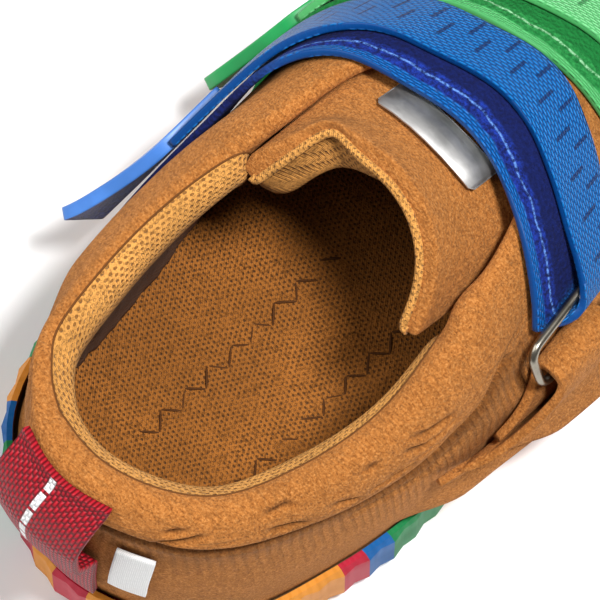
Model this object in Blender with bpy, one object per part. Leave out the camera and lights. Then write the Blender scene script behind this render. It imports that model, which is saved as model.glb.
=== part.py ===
"""First walker shoe, left foot: suede upper on a cup sole, with two webbing straps through rings.

Frame: metres, +Z up, floor at z = 0, +Y towards the toe, +X towards the medial side.
All sizes below are in millimetres and are scaled once, when a mesh is made.
"""
from collections import namedtuple

import bmesh
import bpy
import numpy as np
from mathutils import Vector
from mathutils.bvhtree import BVHTree

MM = 0.001
GAP = 0.35
SHARP_ANGLE = 0.7

# Shoe-wide sizes
WALL_HALF = 1.1
COLLAR_PAD = 2.3
COLLAR_DEPTH = 5.0
COLLAR_SPREAD = 5.0
SOLE_HEEL = 11.0
SOLE_BALL = 8.0
ARCH_RISE = 2.0
TOE_SPRING = 7.0
LIP_HEIGHT = 4.0
LIP_WIDTH = 1.3
SIDE_OUT = 4.0
RIB_OUT = 0.45
HEEL_TUCK = 1.2
HEEL_TUCK_ENDS = (5.0, 30.0)
WAIST_TUCK = 1.3
WAIST_REAR = (-34.0, -22.0)
WAIST_FRONT = (6.0, 20.0)
INSOLE_THICK = 2.4
TONGUE_HALF = 1.6
STRAP_THICK = 1.2
WIRE = 0.75
RING_HALF_WIDTH = 10.4
RING_CORNER = 2.2
RING_HALF_HEIGHT = 3.8
KEEPER_WIDTH = 12.0
KEEPER_SPREAD_FRONT = 3.0
KEEPER_CLEAR_OF_LIP = 4.0
KEEPER_THICK = 1.3
LOOP_WIDTH = 16.5
LOOP_THICK = 1.2

# Where along the foot the tread changes: arch, toe spring, and the step from heel to ball
ARCH_REAR = (-24.0, -12.0)
ARCH_FRONT = (0.0, 12.0)
SPRING_START = 44.0
SPRING_RUN = 30.0
SPRING_POWER = 1.7
SOLE_THINS = (-30.0, 25.0)

# Foot stations from heel to toe: where the upper meets the sole, lateral and medial,
# and how far its side swells out above that line.
Base = namedtuple("Base", "y_lateral x_lateral y_medial x_medial swell_lateral swell_medial")
BASE_ROWS = (
    Base(-68.0, 0.0, -68.0, 0.0, 1.4, 1.4),
    Base(-59.5, -18.5, -59.5, 18.5, 1.8, 1.9),
    Base(-41.0, -25.0, -41.0, 25.6, 1.8, 2.4),
    Base(-20.0, -25.5, -20.0, 28.2, 1.8, 2.8),
    Base(0.0, -26.0, 0.0, 30.3, 1.6, 2.4),
    Base(18.0, -27.0, 18.0, 31.0, 1.4, 1.2),
    Base(36.0, -27.0, 36.0, 32.0, 1.2, 1.0),
    Base(53.0, -22.5, 53.0, 30.5, 1.0, 1.0),
    Base(65.0, -10.5, 65.0, 21.0, 1.0, 1.0),
    Base(70.0, 5.5, 70.0, 5.5, 1.0, 1.0),
)

# The same stations on the collar and the facings, up to the throat; lean is the slope of
# the wall's top in degrees from upright.
Rim = namedtuple("Rim", "y_lateral x_lateral z_lateral y_medial x_medial z_medial lean")
RIM_ROWS = (
    Rim(-63.5, -1.0, 53.5, -63.5, -1.0, 53.5, 4.0),
    Rim(-58.0, -15.0, 52.5, -56.7, 14.6, 52.5, 4.0),
    Rim(-44.0, -19.3, 51.0, -44.0, 21.0, 51.0, 6.0),
    Rim(-28.0, -20.3, 51.5, -27.0, 24.0, 51.5, 14.0),
    Rim(-12.0, -17.5, 55.5, -10.0, 20.5, 55.5, 34.0),
    Rim(6.0, -13.5, 56.8, 7.0, 14.5, 56.8, 52.0),
    Rim(25.0, 1.5, 49.8, 25.0, 1.5, 49.8, 76.0),
)
Ridge = namedtuple("Ridge", "x y z")
RIDGE_ROWS = (
    Ridge(1.5, 25.0, 49.8),
    Ridge(3.0, 42.0, 41.0),
    Ridge(4.5, 53.0, 35.5),
    Ridge(5.5, 60.5, 31.0),
)
THROAT = len(RIM_ROWS) - 1
LAST = len(BASE_ROWS) - 1


def span(a, b, c, d, per_row):
    """Catmull-Rom samples from b up to, but not including, c."""
    samples = []
    for t in np.arange(per_row) / per_row:
        samples.append(0.5 * (2 * b + (c - a) * t + (2 * a - 5 * b + 4 * c - d) * t ** 2
                              + (3 * b - a - 3 * c + d) * t ** 3))
    return samples


def periodic(points, per_row):
    """Closed smooth curve through the points, per_row samples a span."""
    points = np.asarray(points, float)
    samples = []
    for k in range(len(points)):
        samples += span(*np.roll(points, 1 - k, axis=0)[:4], per_row)
    return np.array(samples)


def opened(points, per_row):
    """Open smooth curve through the points, ends included."""
    points = np.asarray(points, float)
    padded = np.vstack([2 * points[0] - points[1], points, 2 * points[-1] - points[-2]])
    samples = []
    for k in range(len(points) - 1):
        samples += span(*padded[k:k + 4], per_row)
    samples.append(points[-1])
    return np.array(samples)


def unit(vectors):
    return vectors / np.maximum(np.linalg.norm(vectors, axis=-1, keepdims=True), 1e-9)


def ease(value, low, high):
    t = np.clip((value - low) / (high - low), 0, 1)
    return t * t * (3 - 2 * t)


def floor_line(y):
    """Height of the tread above the ground: flat heel, arch, flat forefoot, toe spring."""
    arch = ARCH_RISE * ease(y, *ARCH_REAR) * (1 - ease(y, *ARCH_FRONT))
    spring = TOE_SPRING * np.maximum((y - SPRING_START) / SPRING_RUN, 0) ** SPRING_POWER
    return arch + spring


def feather_line(y):
    """Height of the cup's floor, where upper and insole stand on the sole."""
    thick = SOLE_HEEL + (SOLE_BALL - SOLE_HEEL) * ease(y, *SOLE_THINS)
    return floor_line(y) + thick


def around(columns_lateral, columns_medial):
    """One closed list of rows: heel, lateral side, toe, medial side."""
    return list(columns_lateral) + list(columns_medial[-2:0:-1])


def base_curve(per_row):
    """Feather outline, its outward normals and its swell, heel first, lateral side first."""
    lateral = [(r.x_lateral, r.y_lateral, r.swell_lateral) for r in BASE_ROWS]
    medial = [(r.x_medial, r.y_medial, r.swell_medial) for r in BASE_ROWS]
    curve = periodic(around(lateral, medial), per_row)
    along = np.roll(curve[:, :2], -1, axis=0) - np.roll(curve[:, :2], 1, axis=0)
    normal = unit(np.stack([-along[:, 1], along[:, 0]], axis=1))
    return curve[:, :2], normal, curve[:, 2]


def mesh_object(name, points, faces, colour, roughness=0.7, metallic=0.0):
    """A named solid from points in millimetres, with its own material."""
    mesh = bpy.data.meshes.new(name)
    mesh.from_pydata([tuple(np.asarray(p) * MM) for p in points], [], faces)
    shaped = bmesh.new()
    shaped.from_mesh(mesh)
    bmesh.ops.recalc_face_normals(shaped, faces=shaped.faces)
    shaped.to_mesh(mesh)
    shaped.free()
    mesh.shade_smooth()
    mesh.set_sharp_from_angle(angle=SHARP_ANGLE)
    material = bpy.data.materials.new(name)
    material.use_nodes = True
    shader = material.node_tree.nodes["Principled BSDF"]
    shader.inputs["Base Color"].default_value = (*colour, 1)
    shader.inputs["Roughness"].default_value = roughness
    shader.inputs["Metallic"].default_value = metallic
    mesh.materials.append(material)
    piece = bpy.data.objects.new(name, mesh)
    bpy.context.scene.collection.objects.link(piece)
    return piece


def tree_of(*pieces):
    """Ray and nearest-point tree over the pieces, in millimetres."""
    points = []
    faces = []
    for piece in pieces:
        start = len(points)
        points += [v.co / MM for v in piece.data.vertices]
        faces += [[start + i for i in p.vertices] for p in piece.data.polygons]
    return BVHTree.FromPolygons(points, faces)


for leftover in list(bpy.data.objects):
    bpy.data.objects.remove(leftover)

# Upper: the wall's middle surface is worked out station by station, from the feather line
# up to the collar, the facing or the ridge of the vamp, and then given its thickness.
PER_ROW = 4
HEIGHTS = np.array([0, 0.1, 0.22, 0.34, 0.46, 0.57, 0.66, 0.74, 0.81, 0.87, 0.92, 0.96, 1.0])
SIDE_STATIONS = LAST * PER_ROW
RING_STATIONS = 2 * SIDE_STATIONS
THROAT_STATION = THROAT * PER_ROW
CAP_STEPS = 4
FOOT_HANDLE = 0.34
HEAD_HANDLE = 0.27
FLAT_LEAN = 90.0
PAD_THINS = (3.2, 5.0)
PAD_LOSS = 0.75
PAD_ENDS = (5.0, 6.0)
SUEDE = (0.60, 0.29, 0.10)


def top_line():
    """Top edge of the wall at every station, with the lean of its last stretch."""
    lateral = [(r.x_lateral, r.y_lateral, r.z_lateral, r.lean) for r in RIM_ROWS]
    medial = [(r.x_medial, r.y_medial, r.z_medial, r.lean) for r in RIM_ROWS]
    rim = periodic(around(lateral, medial), PER_ROW)
    ridge = opened(RIDGE_ROWS, PER_ROW)
    top = np.zeros((RING_STATIONS, 4))
    rim_count = len(rim)
    for j in range(SIDE_STATIONS + 1):
        for station, k in ((j, j), ((-j) % RING_STATIONS, (-j) % rim_count)):
            if j < THROAT_STATION:
                top[station] = rim[k]
            else:
                top[station, :3] = ridge[j - THROAT_STATION]
                top[station, 3] = FLAT_LEAN
    return top


def wall_surface():
    """Middle surface of the upper's wall: stations round the foot by heights."""
    base, normal, swell = base_curve(PER_ROW)
    top = top_line()
    ridge = top[THROAT_STATION:SIDE_STATIONS + 1, :3]
    slopes = np.gradient(ridge[:, 2], ridge[:, 1])
    surface = np.zeros((RING_STATIONS, len(HEIGHTS), 3))
    for station in range(RING_STATIONS):
        j = min(station, RING_STATIONS - station)
        foot = np.array([*base[station], feather_line(base[station, 1]) + GAP])
        head = top[station, :3]
        inward = np.array([*-normal[station], 0.0])
        if j >= THROAT_STATION:
            flat = unit(head[:2] - foot[:2])
            crown = unit(np.array([*flat, slopes[j - THROAT_STATION] * flat[1]]))
        else:
            lean = np.radians(top[station, 3])
            crown = np.array([0, 0, np.cos(lean)]) + np.sin(lean) * inward
        rise = head[2] - foot[2]
        reach = np.linalg.norm(head - foot)
        below = foot + np.array([0, 0, FOOT_HANDLE * rise])
        before = head - crown * HEAD_HANDLE * reach
        t = HEIGHTS[:, None]
        line = ((1 - t) ** 3 * foot + 3 * t * (1 - t) ** 2 * below
                + 3 * t ** 2 * (1 - t) * before + t ** 3 * head)
        surface[station] = line - inward * swell[station] * np.sin(np.pi * t) ** 2
    return surface


def wall_normals(surface):
    """Outward normals of the middle surface, made one along the welded ridge."""
    across = np.roll(surface, -1, axis=0) - np.roll(surface, 1, axis=0)
    up = np.gradient(surface, axis=1)
    normals = unit(np.cross(up, across))
    for j in range(THROAT_STATION + 1, SIDE_STATIONS):
        both = unit(normals[j, -1] + normals[-j, -1])
        normals[j, -1] = both
        normals[-j, -1] = both
    ahead = normals[SIDE_STATIONS - 1, -1]
    normals[SIDE_STATIONS, -1] = unit(ahead + np.array([0, 0.3, 0]))
    normals[THROAT_STATION, -1] = normals[THROAT_STATION + 1, -1]
    normals[-THROAT_STATION, -1] = normals[THROAT_STATION + 1, -1]
    return normals


def half_wall(surface):
    """Half the wall's thickness: thin quarter and vamp, padded collar, firm facing."""
    lengths = np.linalg.norm(np.diff(surface, axis=1), axis=2)
    depth = np.zeros(surface.shape[:2])
    depth[:, :-1] = np.cumsum(lengths[:, ::-1], axis=1)[:, ::-1]
    row = np.minimum(np.arange(RING_STATIONS), RING_STATIONS - np.arange(RING_STATIONS)) / PER_ROW
    pad = COLLAR_PAD * (1 - PAD_LOSS * ease(row, *PAD_THINS)) * (1 - ease(row, *PAD_ENDS))
    return WALL_HALF + pad[:, None] * np.exp(-((depth - COLLAR_DEPTH) / COLLAR_SPREAD) ** 2)


def build_upper():
    surface = wall_surface()
    normals = wall_normals(surface)
    half = half_wall(surface)[..., None]
    skins = (surface + normals * half, surface - normals * half)
    levels = len(HEIGHTS)
    points = []
    index = np.zeros((2, RING_STATIONS, levels), int)
    for skin in range(2):
        for station in range(RING_STATIONS):
            for level in range(levels):
                mirrored = RING_STATIONS - station
                welded = level == levels - 1 and THROAT_STATION <= mirrored < SIDE_STATIONS
                if welded:
                    index[skin, station, level] = index[skin, mirrored, level]
                else:
                    index[skin, station, level] = len(points)
                    points.append(skins[skin][station, level])
    faces = []
    for skin in range(2):
        for station in range(RING_STATIONS):
            beyond = (station + 1) % RING_STATIONS
            for level in range(levels - 1):
                corners = [index[skin, station, level], index[skin, beyond, level],
                           index[skin, beyond, level + 1], index[skin, station, level + 1]]
                corners = list(dict.fromkeys(corners))
                if len(corners) > 2:
                    faces.append(corners)
    for station in range(RING_STATIONS):
        beyond = (station + 1) % RING_STATIONS
        faces.append([index[0, station, 0], index[0, beyond, 0],
                      index[1, beyond, 0], index[1, station, 0]])
    rim = list(range(THROAT_STATION + 1)) + list(range(RING_STATIONS - THROAT_STATION + 1, RING_STATIONS))
    middle = surface[rim, -1]
    along = unit(np.roll(middle, -1, axis=0) - np.roll(middle, 1, axis=0))
    away = unit(np.cross(along, normals[rim, -1]))
    rows = []
    for k, station in enumerate(rim):
        row = [index[0, station, -1]]
        for step in range(1, CAP_STEPS):
            turn = np.pi * step / CAP_STEPS
            radius = half[station, -1]
            row.append(len(points))
            points.append(middle[k] + radius * (np.cos(turn) * normals[station, -1] + np.sin(turn) * away[k]))
        row.append(index[1, station, -1])
        rows.append(row)
    for k, row in enumerate(rows):
        after = rows[(k + 1) % len(rows)]
        for step in range(CAP_STEPS):
            faces.append([row[step], after[step], after[step + 1], row[step + 1]])
    return mesh_object("upper", points, faces, SUEDE, 0.9)


upper = build_upper()

# Outsole: a cup whose floor carries the upper; rings of its wall from the cup's floor
# over the lip and down the ribbed side to the tread.
SOLE_PER_ROW = 10
SoleRing = namedtuple("SoleRing", "out from_feather from_ground rib_share tuck_share")
SOLE_RINGS = (
    SoleRing(WALL_HALF + GAP, 0.0, None, 0.0, 0.0),
    SoleRing(WALL_HALF + GAP + 0.1, LIP_HEIGHT, None, 0.0, 0.0),
    SoleRing(WALL_HALF + GAP + LIP_WIDTH, LIP_HEIGHT, None, 0.0, 0.3),
    SoleRing(SIDE_OUT, LIP_HEIGHT - 1.3, None, 1.0, 1.0),
    SoleRing(SIDE_OUT + 0.2, None, 3.4, 1.0, 1.0),
    SoleRing(SIDE_OUT - 0.4, None, 2.6, 0.0, 1.0),
    SoleRing(SIDE_OUT - 0.8, None, 0.0, 0.0, 1.0),
)
GROOVE_PLACES = (-56.0, -46.0, -36.0, -26.0, 14.0, 24.0, 34.0, 44.0)
GROOVE_WIDTH = 2.2
GROOVE_DEPTH = 1.6
GROOVE_LENGTH = 90.0
CUTTER = "tread_cutter"


def tucked(outline, normal):
    """How far the sole's side is drawn in under the upper: at the heel and the medial waist."""
    y = outline[:, 1]
    heel = HEEL_TUCK * (1 - ease(y, *HEEL_TUCK_ENDS))
    medial = ease(normal[:, 0], 0.3, 0.8)
    return heel + WAIST_TUCK * medial * ease(y, *WAIST_REAR) * (1 - ease(y, *WAIST_FRONT))


def build_outsole():
    outline, normal, _ = base_curve(SOLE_PER_ROW)
    tuck = tucked(outline, normal)
    count = len(outline)
    half = count // 2
    ribs = np.where(np.arange(count) % 2 == 0, RIB_OUT, 0.0)
    points = []
    for ring in SOLE_RINGS:
        flat = outline + normal * (ring.out + ribs * ring.rib_share - tuck * ring.tuck_share)[:, None]
        if ring.from_ground is None:
            height = feather_line(outline[:, 1]) + ring.from_feather
        else:
            height = floor_line(flat[:, 1]) + ring.from_ground
        points += [(*xy, z) for xy, z in zip(flat, height)]
    faces = []
    for ring in range(len(SOLE_RINGS) - 1):
        for k in range(count):
            a = ring * count + k
            b = ring * count + (k + 1) % count
            faces.append([a, b, b + count, a + count])
    for first in (0, (len(SOLE_RINGS) - 1) * count):
        for k in range(half):
            quad = [first + k, first + k + 1, first + (count - k - 1) % count, first + (count - k) % count]
            faces.append(list(dict.fromkeys(quad)))
    sole = mesh_object("outsole", points, faces, (0.75, 0.30, 0.05), 0.6)
    sole.data.set_sharp_from_angle(angle=0.35)
    grooves = bmesh.new()
    for place in GROOVE_PLACES:
        box = bmesh.ops.create_cube(grooves, size=1.0)["verts"]
        bmesh.ops.scale(grooves, vec=Vector((GROOVE_LENGTH, GROOVE_WIDTH, 2 * GROOVE_DEPTH)) * MM, verts=box)
        bmesh.ops.translate(grooves, vec=Vector((0, place, 0)) * MM, verts=box)
    mesh = bpy.data.meshes.new(CUTTER)
    grooves.to_mesh(mesh)
    grooves.free()
    cutter = bpy.data.objects.new(CUTTER, mesh)
    bpy.context.scene.collection.objects.link(cutter)
    cutter.hide_render = True
    cutter.display_type = "WIRE"
    cut = sole.modifiers.new("tread", "BOOLEAN")
    cut.operation = "DIFFERENCE"
    cut.object = cutter


# Insole: a footbed with the feather outline, clear of the wall all round.
INSOLE_INSET = WALL_HALF + 0.9


def build_insole():
    outline, normal, _ = base_curve(PER_ROW)
    count = len(outline)
    half = count // 2
    flat = outline - normal * INSOLE_INSET
    seat = feather_line(outline[:, 1]) + GAP
    points = [(*xy, z) for xy, z in zip(flat, seat)]
    points += [(*xy, z + INSOLE_THICK) for xy, z in zip(flat, seat)]
    faces = [[k, (k + 1) % count, count + (k + 1) % count, count + k] for k in range(count)]
    for first in (0, count):
        for k in range(half):
            quad = [first + k, first + k + 1, first + (count - k - 1) % count, first + (count - k) % count]
            faces.append(list(dict.fromkeys(quad)))
    mesh_object("insole", points, faces, (0.40, 0.20, 0.06), 0.9)


def slab(name, middle, half, colour, roughness=0.7, metallic=0.0):
    """A closed sheet solid: a grid of middle points, given half a thickness to both sides."""
    rows, columns = middle.shape[:2]
    along = np.gradient(middle, axis=0)
    across = np.gradient(middle, axis=1)
    normals = unit(np.cross(along, across))
    half = np.broadcast_to(np.asarray(half, float), (rows, columns))[..., None]
    points = list((middle + normals * half).reshape(-1, 3)) + list((middle - normals * half).reshape(-1, 3))
    back = rows * columns
    faces = []
    for r in range(rows - 1):
        for c in range(columns - 1):
            quad = [r * columns + c, r * columns + c + 1, (r + 1) * columns + c + 1, (r + 1) * columns + c]
            faces.append(quad)
            faces.append([back + k for k in reversed(quad)])
    border = [(0, c) for c in range(columns)] + [(r, columns - 1) for r in range(1, rows)]
    border += [(rows - 1, c) for c in range(columns - 2, -1, -1)] + [(r, 0) for r in range(rows - 2, 0, -1)]
    edge = [r * columns + c for r, c in border]
    for k, a in enumerate(edge):
        b = edge[(k + 1) % len(edge)]
        faces.append([a, back + a, back + b, b])
    return mesh_object(name, points, faces, colour, roughness, metallic)


# Tongue: an arched padded sheet that starts under the throat and rises between the facings;
# its rear edge sweeps back into two lobes.
TONGUE_X = 1.0
TongueRow = namedtuple("TongueRow", "y z half_width drop sweep")
TONGUE_ROWS = (
    TongueRow(22.0, 45.5, 11.0, 4.0, 0.0),
    TongueRow(13.0, 51.0, 13.5, 6.0, 0.0),
    TongueRow(4.0, 56.0, 15.0, 8.0, -2.0),
    TongueRow(-2.5, 60.5, 15.6, 10.5, -7.0),
    TongueRow(-7.0, 65.5, 15.3, 12.0, -12.0),
)
TONGUE_ARCH = np.radians(80)
TONGUE_ACROSS = 11


def build_tongue():
    rows = opened(TONGUE_ROWS, 3)
    across = np.linspace(-1, 1, TONGUE_ACROSS)
    turn = across * TONGUE_ARCH
    middle = np.zeros((len(rows), TONGUE_ACROSS, 3))
    for r, (y, z, half_width, drop, sweep) in enumerate(rows):
        middle[r, :, 0] = TONGUE_X + half_width * np.sin(turn) / np.sin(TONGUE_ARCH)
        middle[r, :, 1] = y + sweep * across ** 2
        middle[r, :, 2] = z - drop * (1 - np.cos(turn)) / (1 - np.cos(TONGUE_ARCH))
    wall = tree_of(upper)
    room = TONGUE_HALF + GAP + 0.15
    for point in middle.reshape(-1, 3):
        near, normal, _, _ = wall.find_nearest(Vector(point))
        apart = (Vector(point) - near).dot(normal)
        if apart < room:
            point[:] = near + normal * room
    return slab("tongue", middle, TONGUE_HALF, SUEDE, 0.9)


build_outsole()
build_insole()
tongue = build_tongue()


class Belt:
    """A taut route across the shoe, edge to edge: rays from an axis along the foot find the
    upper and tongue, and a hull over the hits keeps the belt straight across hollows."""

    STEPS = 90
    SMOOTHINGS = 6
    RAY_REACH = 90.0

    def __init__(self, axis, rows, tree):
        self.tree = tree
        given, rear, front = np.array(rows, float).T
        self.angles = np.linspace(given[0], given[-1], self.STEPS)
        edges = []
        for column in (rear, front):
            y = np.interp(self.angles, given, column)
            for _ in range(self.SMOOTHINGS):
                y[1:-1] = 0.25 * y[:-2] + 0.5 * y[1:-1] + 0.25 * y[2:]
            edges.append(y)
        middle = 0.5 * (edges[0] + edges[1])
        reach = [self.hull(self.cast(axis, y)) for y in (*edges, middle)]
        short = np.maximum(reach[2] - 0.5 * (reach[0] + reach[1]), 0)
        turn = np.radians(self.angles)
        self.edges = []
        for y, far in zip(edges, reach):
            across = axis[0] + (far + short) * np.sin(turn)
            up = axis[1] + (far + short) * np.cos(turn)
            self.edges.append(np.stack([across, y, up], axis=1))
        self.middle = 0.5 * (self.edges[0] + self.edges[1])
        steps = np.linalg.norm(np.diff(self.middle, axis=0), axis=1)
        self.length = np.concatenate([[0], np.cumsum(steps)])
        along = np.gradient(self.middle, axis=0)
        self.normals = unit(np.cross(along, self.edges[1] - self.edges[0]))

    def cast(self, axis, y_values):
        """Distance of the shoe's skin from the axis, at every angle."""
        far = []
        for angle, y in zip(np.radians(self.angles), y_values):
            out = Vector((np.sin(angle), 0, np.cos(angle)))
            start = Vector((axis[0], y, axis[1])) + out * self.RAY_REACH
            hit = self.tree.ray_cast(start, -out)[0]
            far.append(self.RAY_REACH - (hit - start).length if hit else 1.0)
        return np.array(far)

    def hull(self, far):
        """The distances pulled taut: hollows between the outermost hits are bridged."""
        turn = np.radians(self.angles)
        spots = np.stack([far * np.sin(turn), far * np.cos(turn)], axis=1)
        kept = []
        for k, spot in enumerate(spots):
            while len(kept) > 1:
                a, b = spots[kept[-2]], spots[kept[-1]]
                if (b[0] - a[0]) * (spot[1] - b[1]) - (b[1] - a[1]) * (spot[0] - b[0]) < 0:
                    break
                kept.pop()
            kept.append(k)
        result = far.copy()
        for first, last in zip(kept[:-1], kept[1:]):
            a, b = spots[first], spots[last]
            for k in range(first + 1, last):
                ray = np.array([np.sin(turn[k]), np.cos(turn[k])])
                side = b - a
                result[k] = (a[0] * side[1] - a[1] * side[0]) / (ray[0] * side[1] - ray[1] * side[0])
        return result

    def at(self, length, share, lift):
        """Point at an arc length, a share of the width (-1 rear, 1 front) and a lift."""
        place = np.array([np.interp(length, self.length, self.middle[:, k]) for k in range(3)])
        side = 0.5 * np.array([np.interp(length, self.length, (self.edges[1] - self.edges[0])[:, k])
                               for k in range(3)])
        return place + side * share + self.normal(length) * lift

    def normal(self, length):
        return unit(np.array([np.interp(length, self.length, self.normals[:, k]) for k in range(3)]))

    def tangent(self, length):
        return unit(self.at(length + 0.5, 0, 0) - self.at(length - 0.5, 0, 0))

    def across(self, length):
        """Unit vector along the belt's width, rear to front."""
        return unit(self.at(length, 1, 0) - self.at(length, -1, 0))

    def ahead(self, length, wide):
        """Unit vector along the surface, square to a given width direction."""
        square = unit(np.cross(wide, self.normal(length)))
        if np.dot(square, self.tangent(length)) < 0:
            return -square
        return square

    def angle_length(self, angle):
        return np.interp(angle, self.angles, self.length)

    def span_above_sole(self):
        """First and last arc length at which both edges lie above the sole's lip."""
        above = np.full(len(self.length), True)
        for edge in self.edges:
            above &= edge[:, 2] > feather_line(edge[:, 1]) + LIP_HEIGHT + 1
        return self.length[above][[0, -1]]


# Straps: each is sewn low on the lateral side, crosses the instep, turns round its ring on
# the medial side and comes back over itself to a moulded tab.
BeltRow = namedtuple("BeltRow", "angle y_rear y_front")
TOP_BELT = (
    BeltRow(-108.0, -44.0, -23.0),
    BeltRow(-90.0, -34.5, -13.5),
    BeltRow(-75.0, -25.5, -4.5),
    BeltRow(-60.0, -16.0, 4.0),
    BeltRow(-45.0, -7.0, 11.5),
    BeltRow(-31.0, 1.0, 17.0),
    BeltRow(-15.0, 4.0, 19.0),
    BeltRow(0.0, 6.0, 21.0),
    BeltRow(15.0, 4.8, 20.4),
    BeltRow(30.0, -0.2, 15.6),
    BeltRow(45.0, -5.4, 10.0),
    BeltRow(65.0, -10.5, 4.4),
    BeltRow(80.0, -12.4, 2.2),
    BeltRow(112.0, -15.4, -0.8),
)
FRONT_BELT = (
    BeltRow(-104.0, -11.0, 8.0),
    BeltRow(-90.0, -4.5, 14.5),
    BeltRow(-75.0, 2.5, 21.0),
    BeltRow(-60.0, 9.2, 26.7),
    BeltRow(-45.0, 14.8, 31.3),
    BeltRow(-31.0, 18.6, 34.3),
    BeltRow(-15.0, 20.3, 35.8),
    BeltRow(0.0, 22.3, 37.5),
    BeltRow(15.0, 22.8, 38.0),
    BeltRow(30.0, 22.0, 37.0),
    BeltRow(45.0, 21.4, 36.2),
    BeltRow(65.0, 20.8, 35.4),
    BeltRow(80.0, 20.2, 34.6),
    BeltRow(112.0, 19.0, 33.4),
)
CLEAR = 0.45
FOLD_STEPS = 6
LOWER_STEPS = 30
UPPER_STEPS = 28
TAB_STEPS = 8
KEEPER_STEPS = 12
KEEPER_COLUMNS = 7
LEAF_STEPS = 4
FOLD_RADIUS = WIRE + GAP + STRAP_THICK / 2
BAR_LIFT = CLEAR + STRAP_THICK / 2 + FOLD_RADIUS + 0.9
ABOVE_LAYER = CLEAR + 1.5 * STRAP_THICK + GAP
UPPER_LAYER_REAR = -0.12
UPPER_LAYER_DRIFT = 0.55
FOLD_RUN = 12.0
TAB_LENGTH = 24.0
TAB_HALF = 1.0
TAB_TAPER = 0.15
TAB_LOW_FLARE = 0.15
TAB_SLANT = 7.0
WIRE_SIDES = 8
CORNER_STEPS = 6
INNER_LEAF = 8.0


def fold_about(radius, forward):
    """Half turn round a ring bar: shifts along the route and lifts, from inner to outer side."""
    turns = np.linspace(0, np.pi, FOLD_STEPS + 1)[1:-1]
    return [(forward * radius * np.sin(turn), BAR_LIFT - radius * np.cos(turn)) for turn in turns]


def strap_rows(belt, start, bar, end, columns):
    """Middle grid of a strap: lower layer, fold round the bar, upper layer."""
    rows = []
    low = CLEAR + STRAP_THICK / 2
    for place in np.linspace(start, bar, LOWER_STEPS):
        lift = low + (BAR_LIFT - FOLD_RADIUS - low) * ease(place, bar - FOLD_RUN, bar)
        rows.append([belt.at(place, w, lift) for w in columns])
    forward = belt.ahead(bar, belt.across(bar))
    for k, (shift, lift) in enumerate(fold_about(FOLD_RADIUS, 1)):
        share = (k + 1) / FOLD_STEPS
        shares = narrowed(columns, share)
        rows.append([belt.at(bar, w, lift) + forward * shift for w in shares])
    for place in np.linspace(bar, end, UPPER_STEPS):
        shares = narrowed(columns, 1.0, UPPER_LAYER_DRIFT * ease((bar - place) / (bar - end), 0.3, 1.0))
        high = 1 - ease(bar - place, 0, FOLD_RUN)
        lift = ABOVE_LAYER + (BAR_LIFT + FOLD_RADIUS - ABOVE_LAYER) * high
        rows.append([belt.at(place, w, lift) for w in shares])
    return np.array(rows)


def narrowed(columns, share, drift=0.0):
    """Width shares of the strap as it passes from its wide lower layer to the upper one."""
    rear = -1 + (UPPER_LAYER_REAR + 1) * share
    return [rear + (w + 1) / 2 * (1 - rear) - drift for w in columns]


def tab_rows(belt, end, flare, columns):
    """Middle grid of the moulded tab, straight on from the strap's end and flared out."""
    ahead = -belt.tangent(end)
    rows = []
    shares = narrowed(columns, 1.0, UPPER_LAYER_DRIFT)
    for step in np.linspace(0, 1, TAB_STEPS):
        taper = 1 - TAB_TAPER * ease(step, 0.8, 1.0) ** 2
        centre = 0.5 * (shares[0] + shares[-1])
        row = []
        for w in shares:
            upper_edge = (shares[-1] - w) / (shares[-1] - shares[0])
            flared = flare * (TAB_LOW_FLARE + (1 - TAB_LOW_FLARE) * upper_edge) * step ** 1.5
            lift = ABOVE_LAYER + TAB_HALF - STRAP_THICK / 2 + flared
            spot = belt.at(end, centre + (w - centre) * taper, lift)
            row.append(spot + ahead * (2 * GAP + (TAB_LENGTH - TAB_SLANT * (upper_edge - 0.5)) * step))
        rows.append(row)
    return np.array(rows)


def keeper_rows(belt, bar, other, end, kind, columns):
    """Middle grid of a keeper: inner leaf up, round the ring's bar, outer leaf down to the sole."""
    wide = belt.across(bar)
    half = KEEPER_WIDTH / 2

    def row(place, lift, shift):
        turned = ease(place - other, 1, 8)
        side = unit(wide * (1 - turned) + belt.across(place) * turned)
        opened = ease(place - other, 0, 0.8 * (end - other))
        raised = kind.rise * ease(place - other, 0.35 * (end - other), end - other)
        spots = []
        for w in columns:
            flare = kind.spread if w < 0 else KEEPER_SPREAD_FRONT
            level = place - raised * max(-w, 0)
            spot = belt.at(level, 0, CLEAR) + side * w * (half + flare * opened)
            near, facing, _, _ = belt.tree.find_nearest(Vector(spot))
            short = CLEAR - (Vector(spot) - near).dot(facing)
            if short < 0:
                short *= turned
            spots.append(spot + belt.normal(level) * (lift - CLEAR + short) + shift)
        return spots

    rows = [row(place, CLEAR + KEEPER_THICK / 2, 0) for place in np.linspace(other + INNER_LEAF, other, LEAF_STEPS)]
    radius = BAR_LIFT - CLEAR - KEEPER_THICK / 2
    back = belt.ahead(other, wide)
    for shift, lift in fold_about(radius, -1):
        rows.append(row(other, lift, back * shift))
    over = CLEAR + 1.5 * KEEPER_THICK + GAP
    for place in np.linspace(other, end, KEEPER_STEPS):
        run = place - other
        lift = over + (BAR_LIFT + radius - over) * (1 - ease(run, 0, INNER_LEAF))
        lift -= (KEEPER_THICK + GAP) * ease(run, INNER_LEAF + 0.5, INNER_LEAF + 6)
        rows.append(row(place, lift, 0))
    return np.array(rows)


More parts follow.
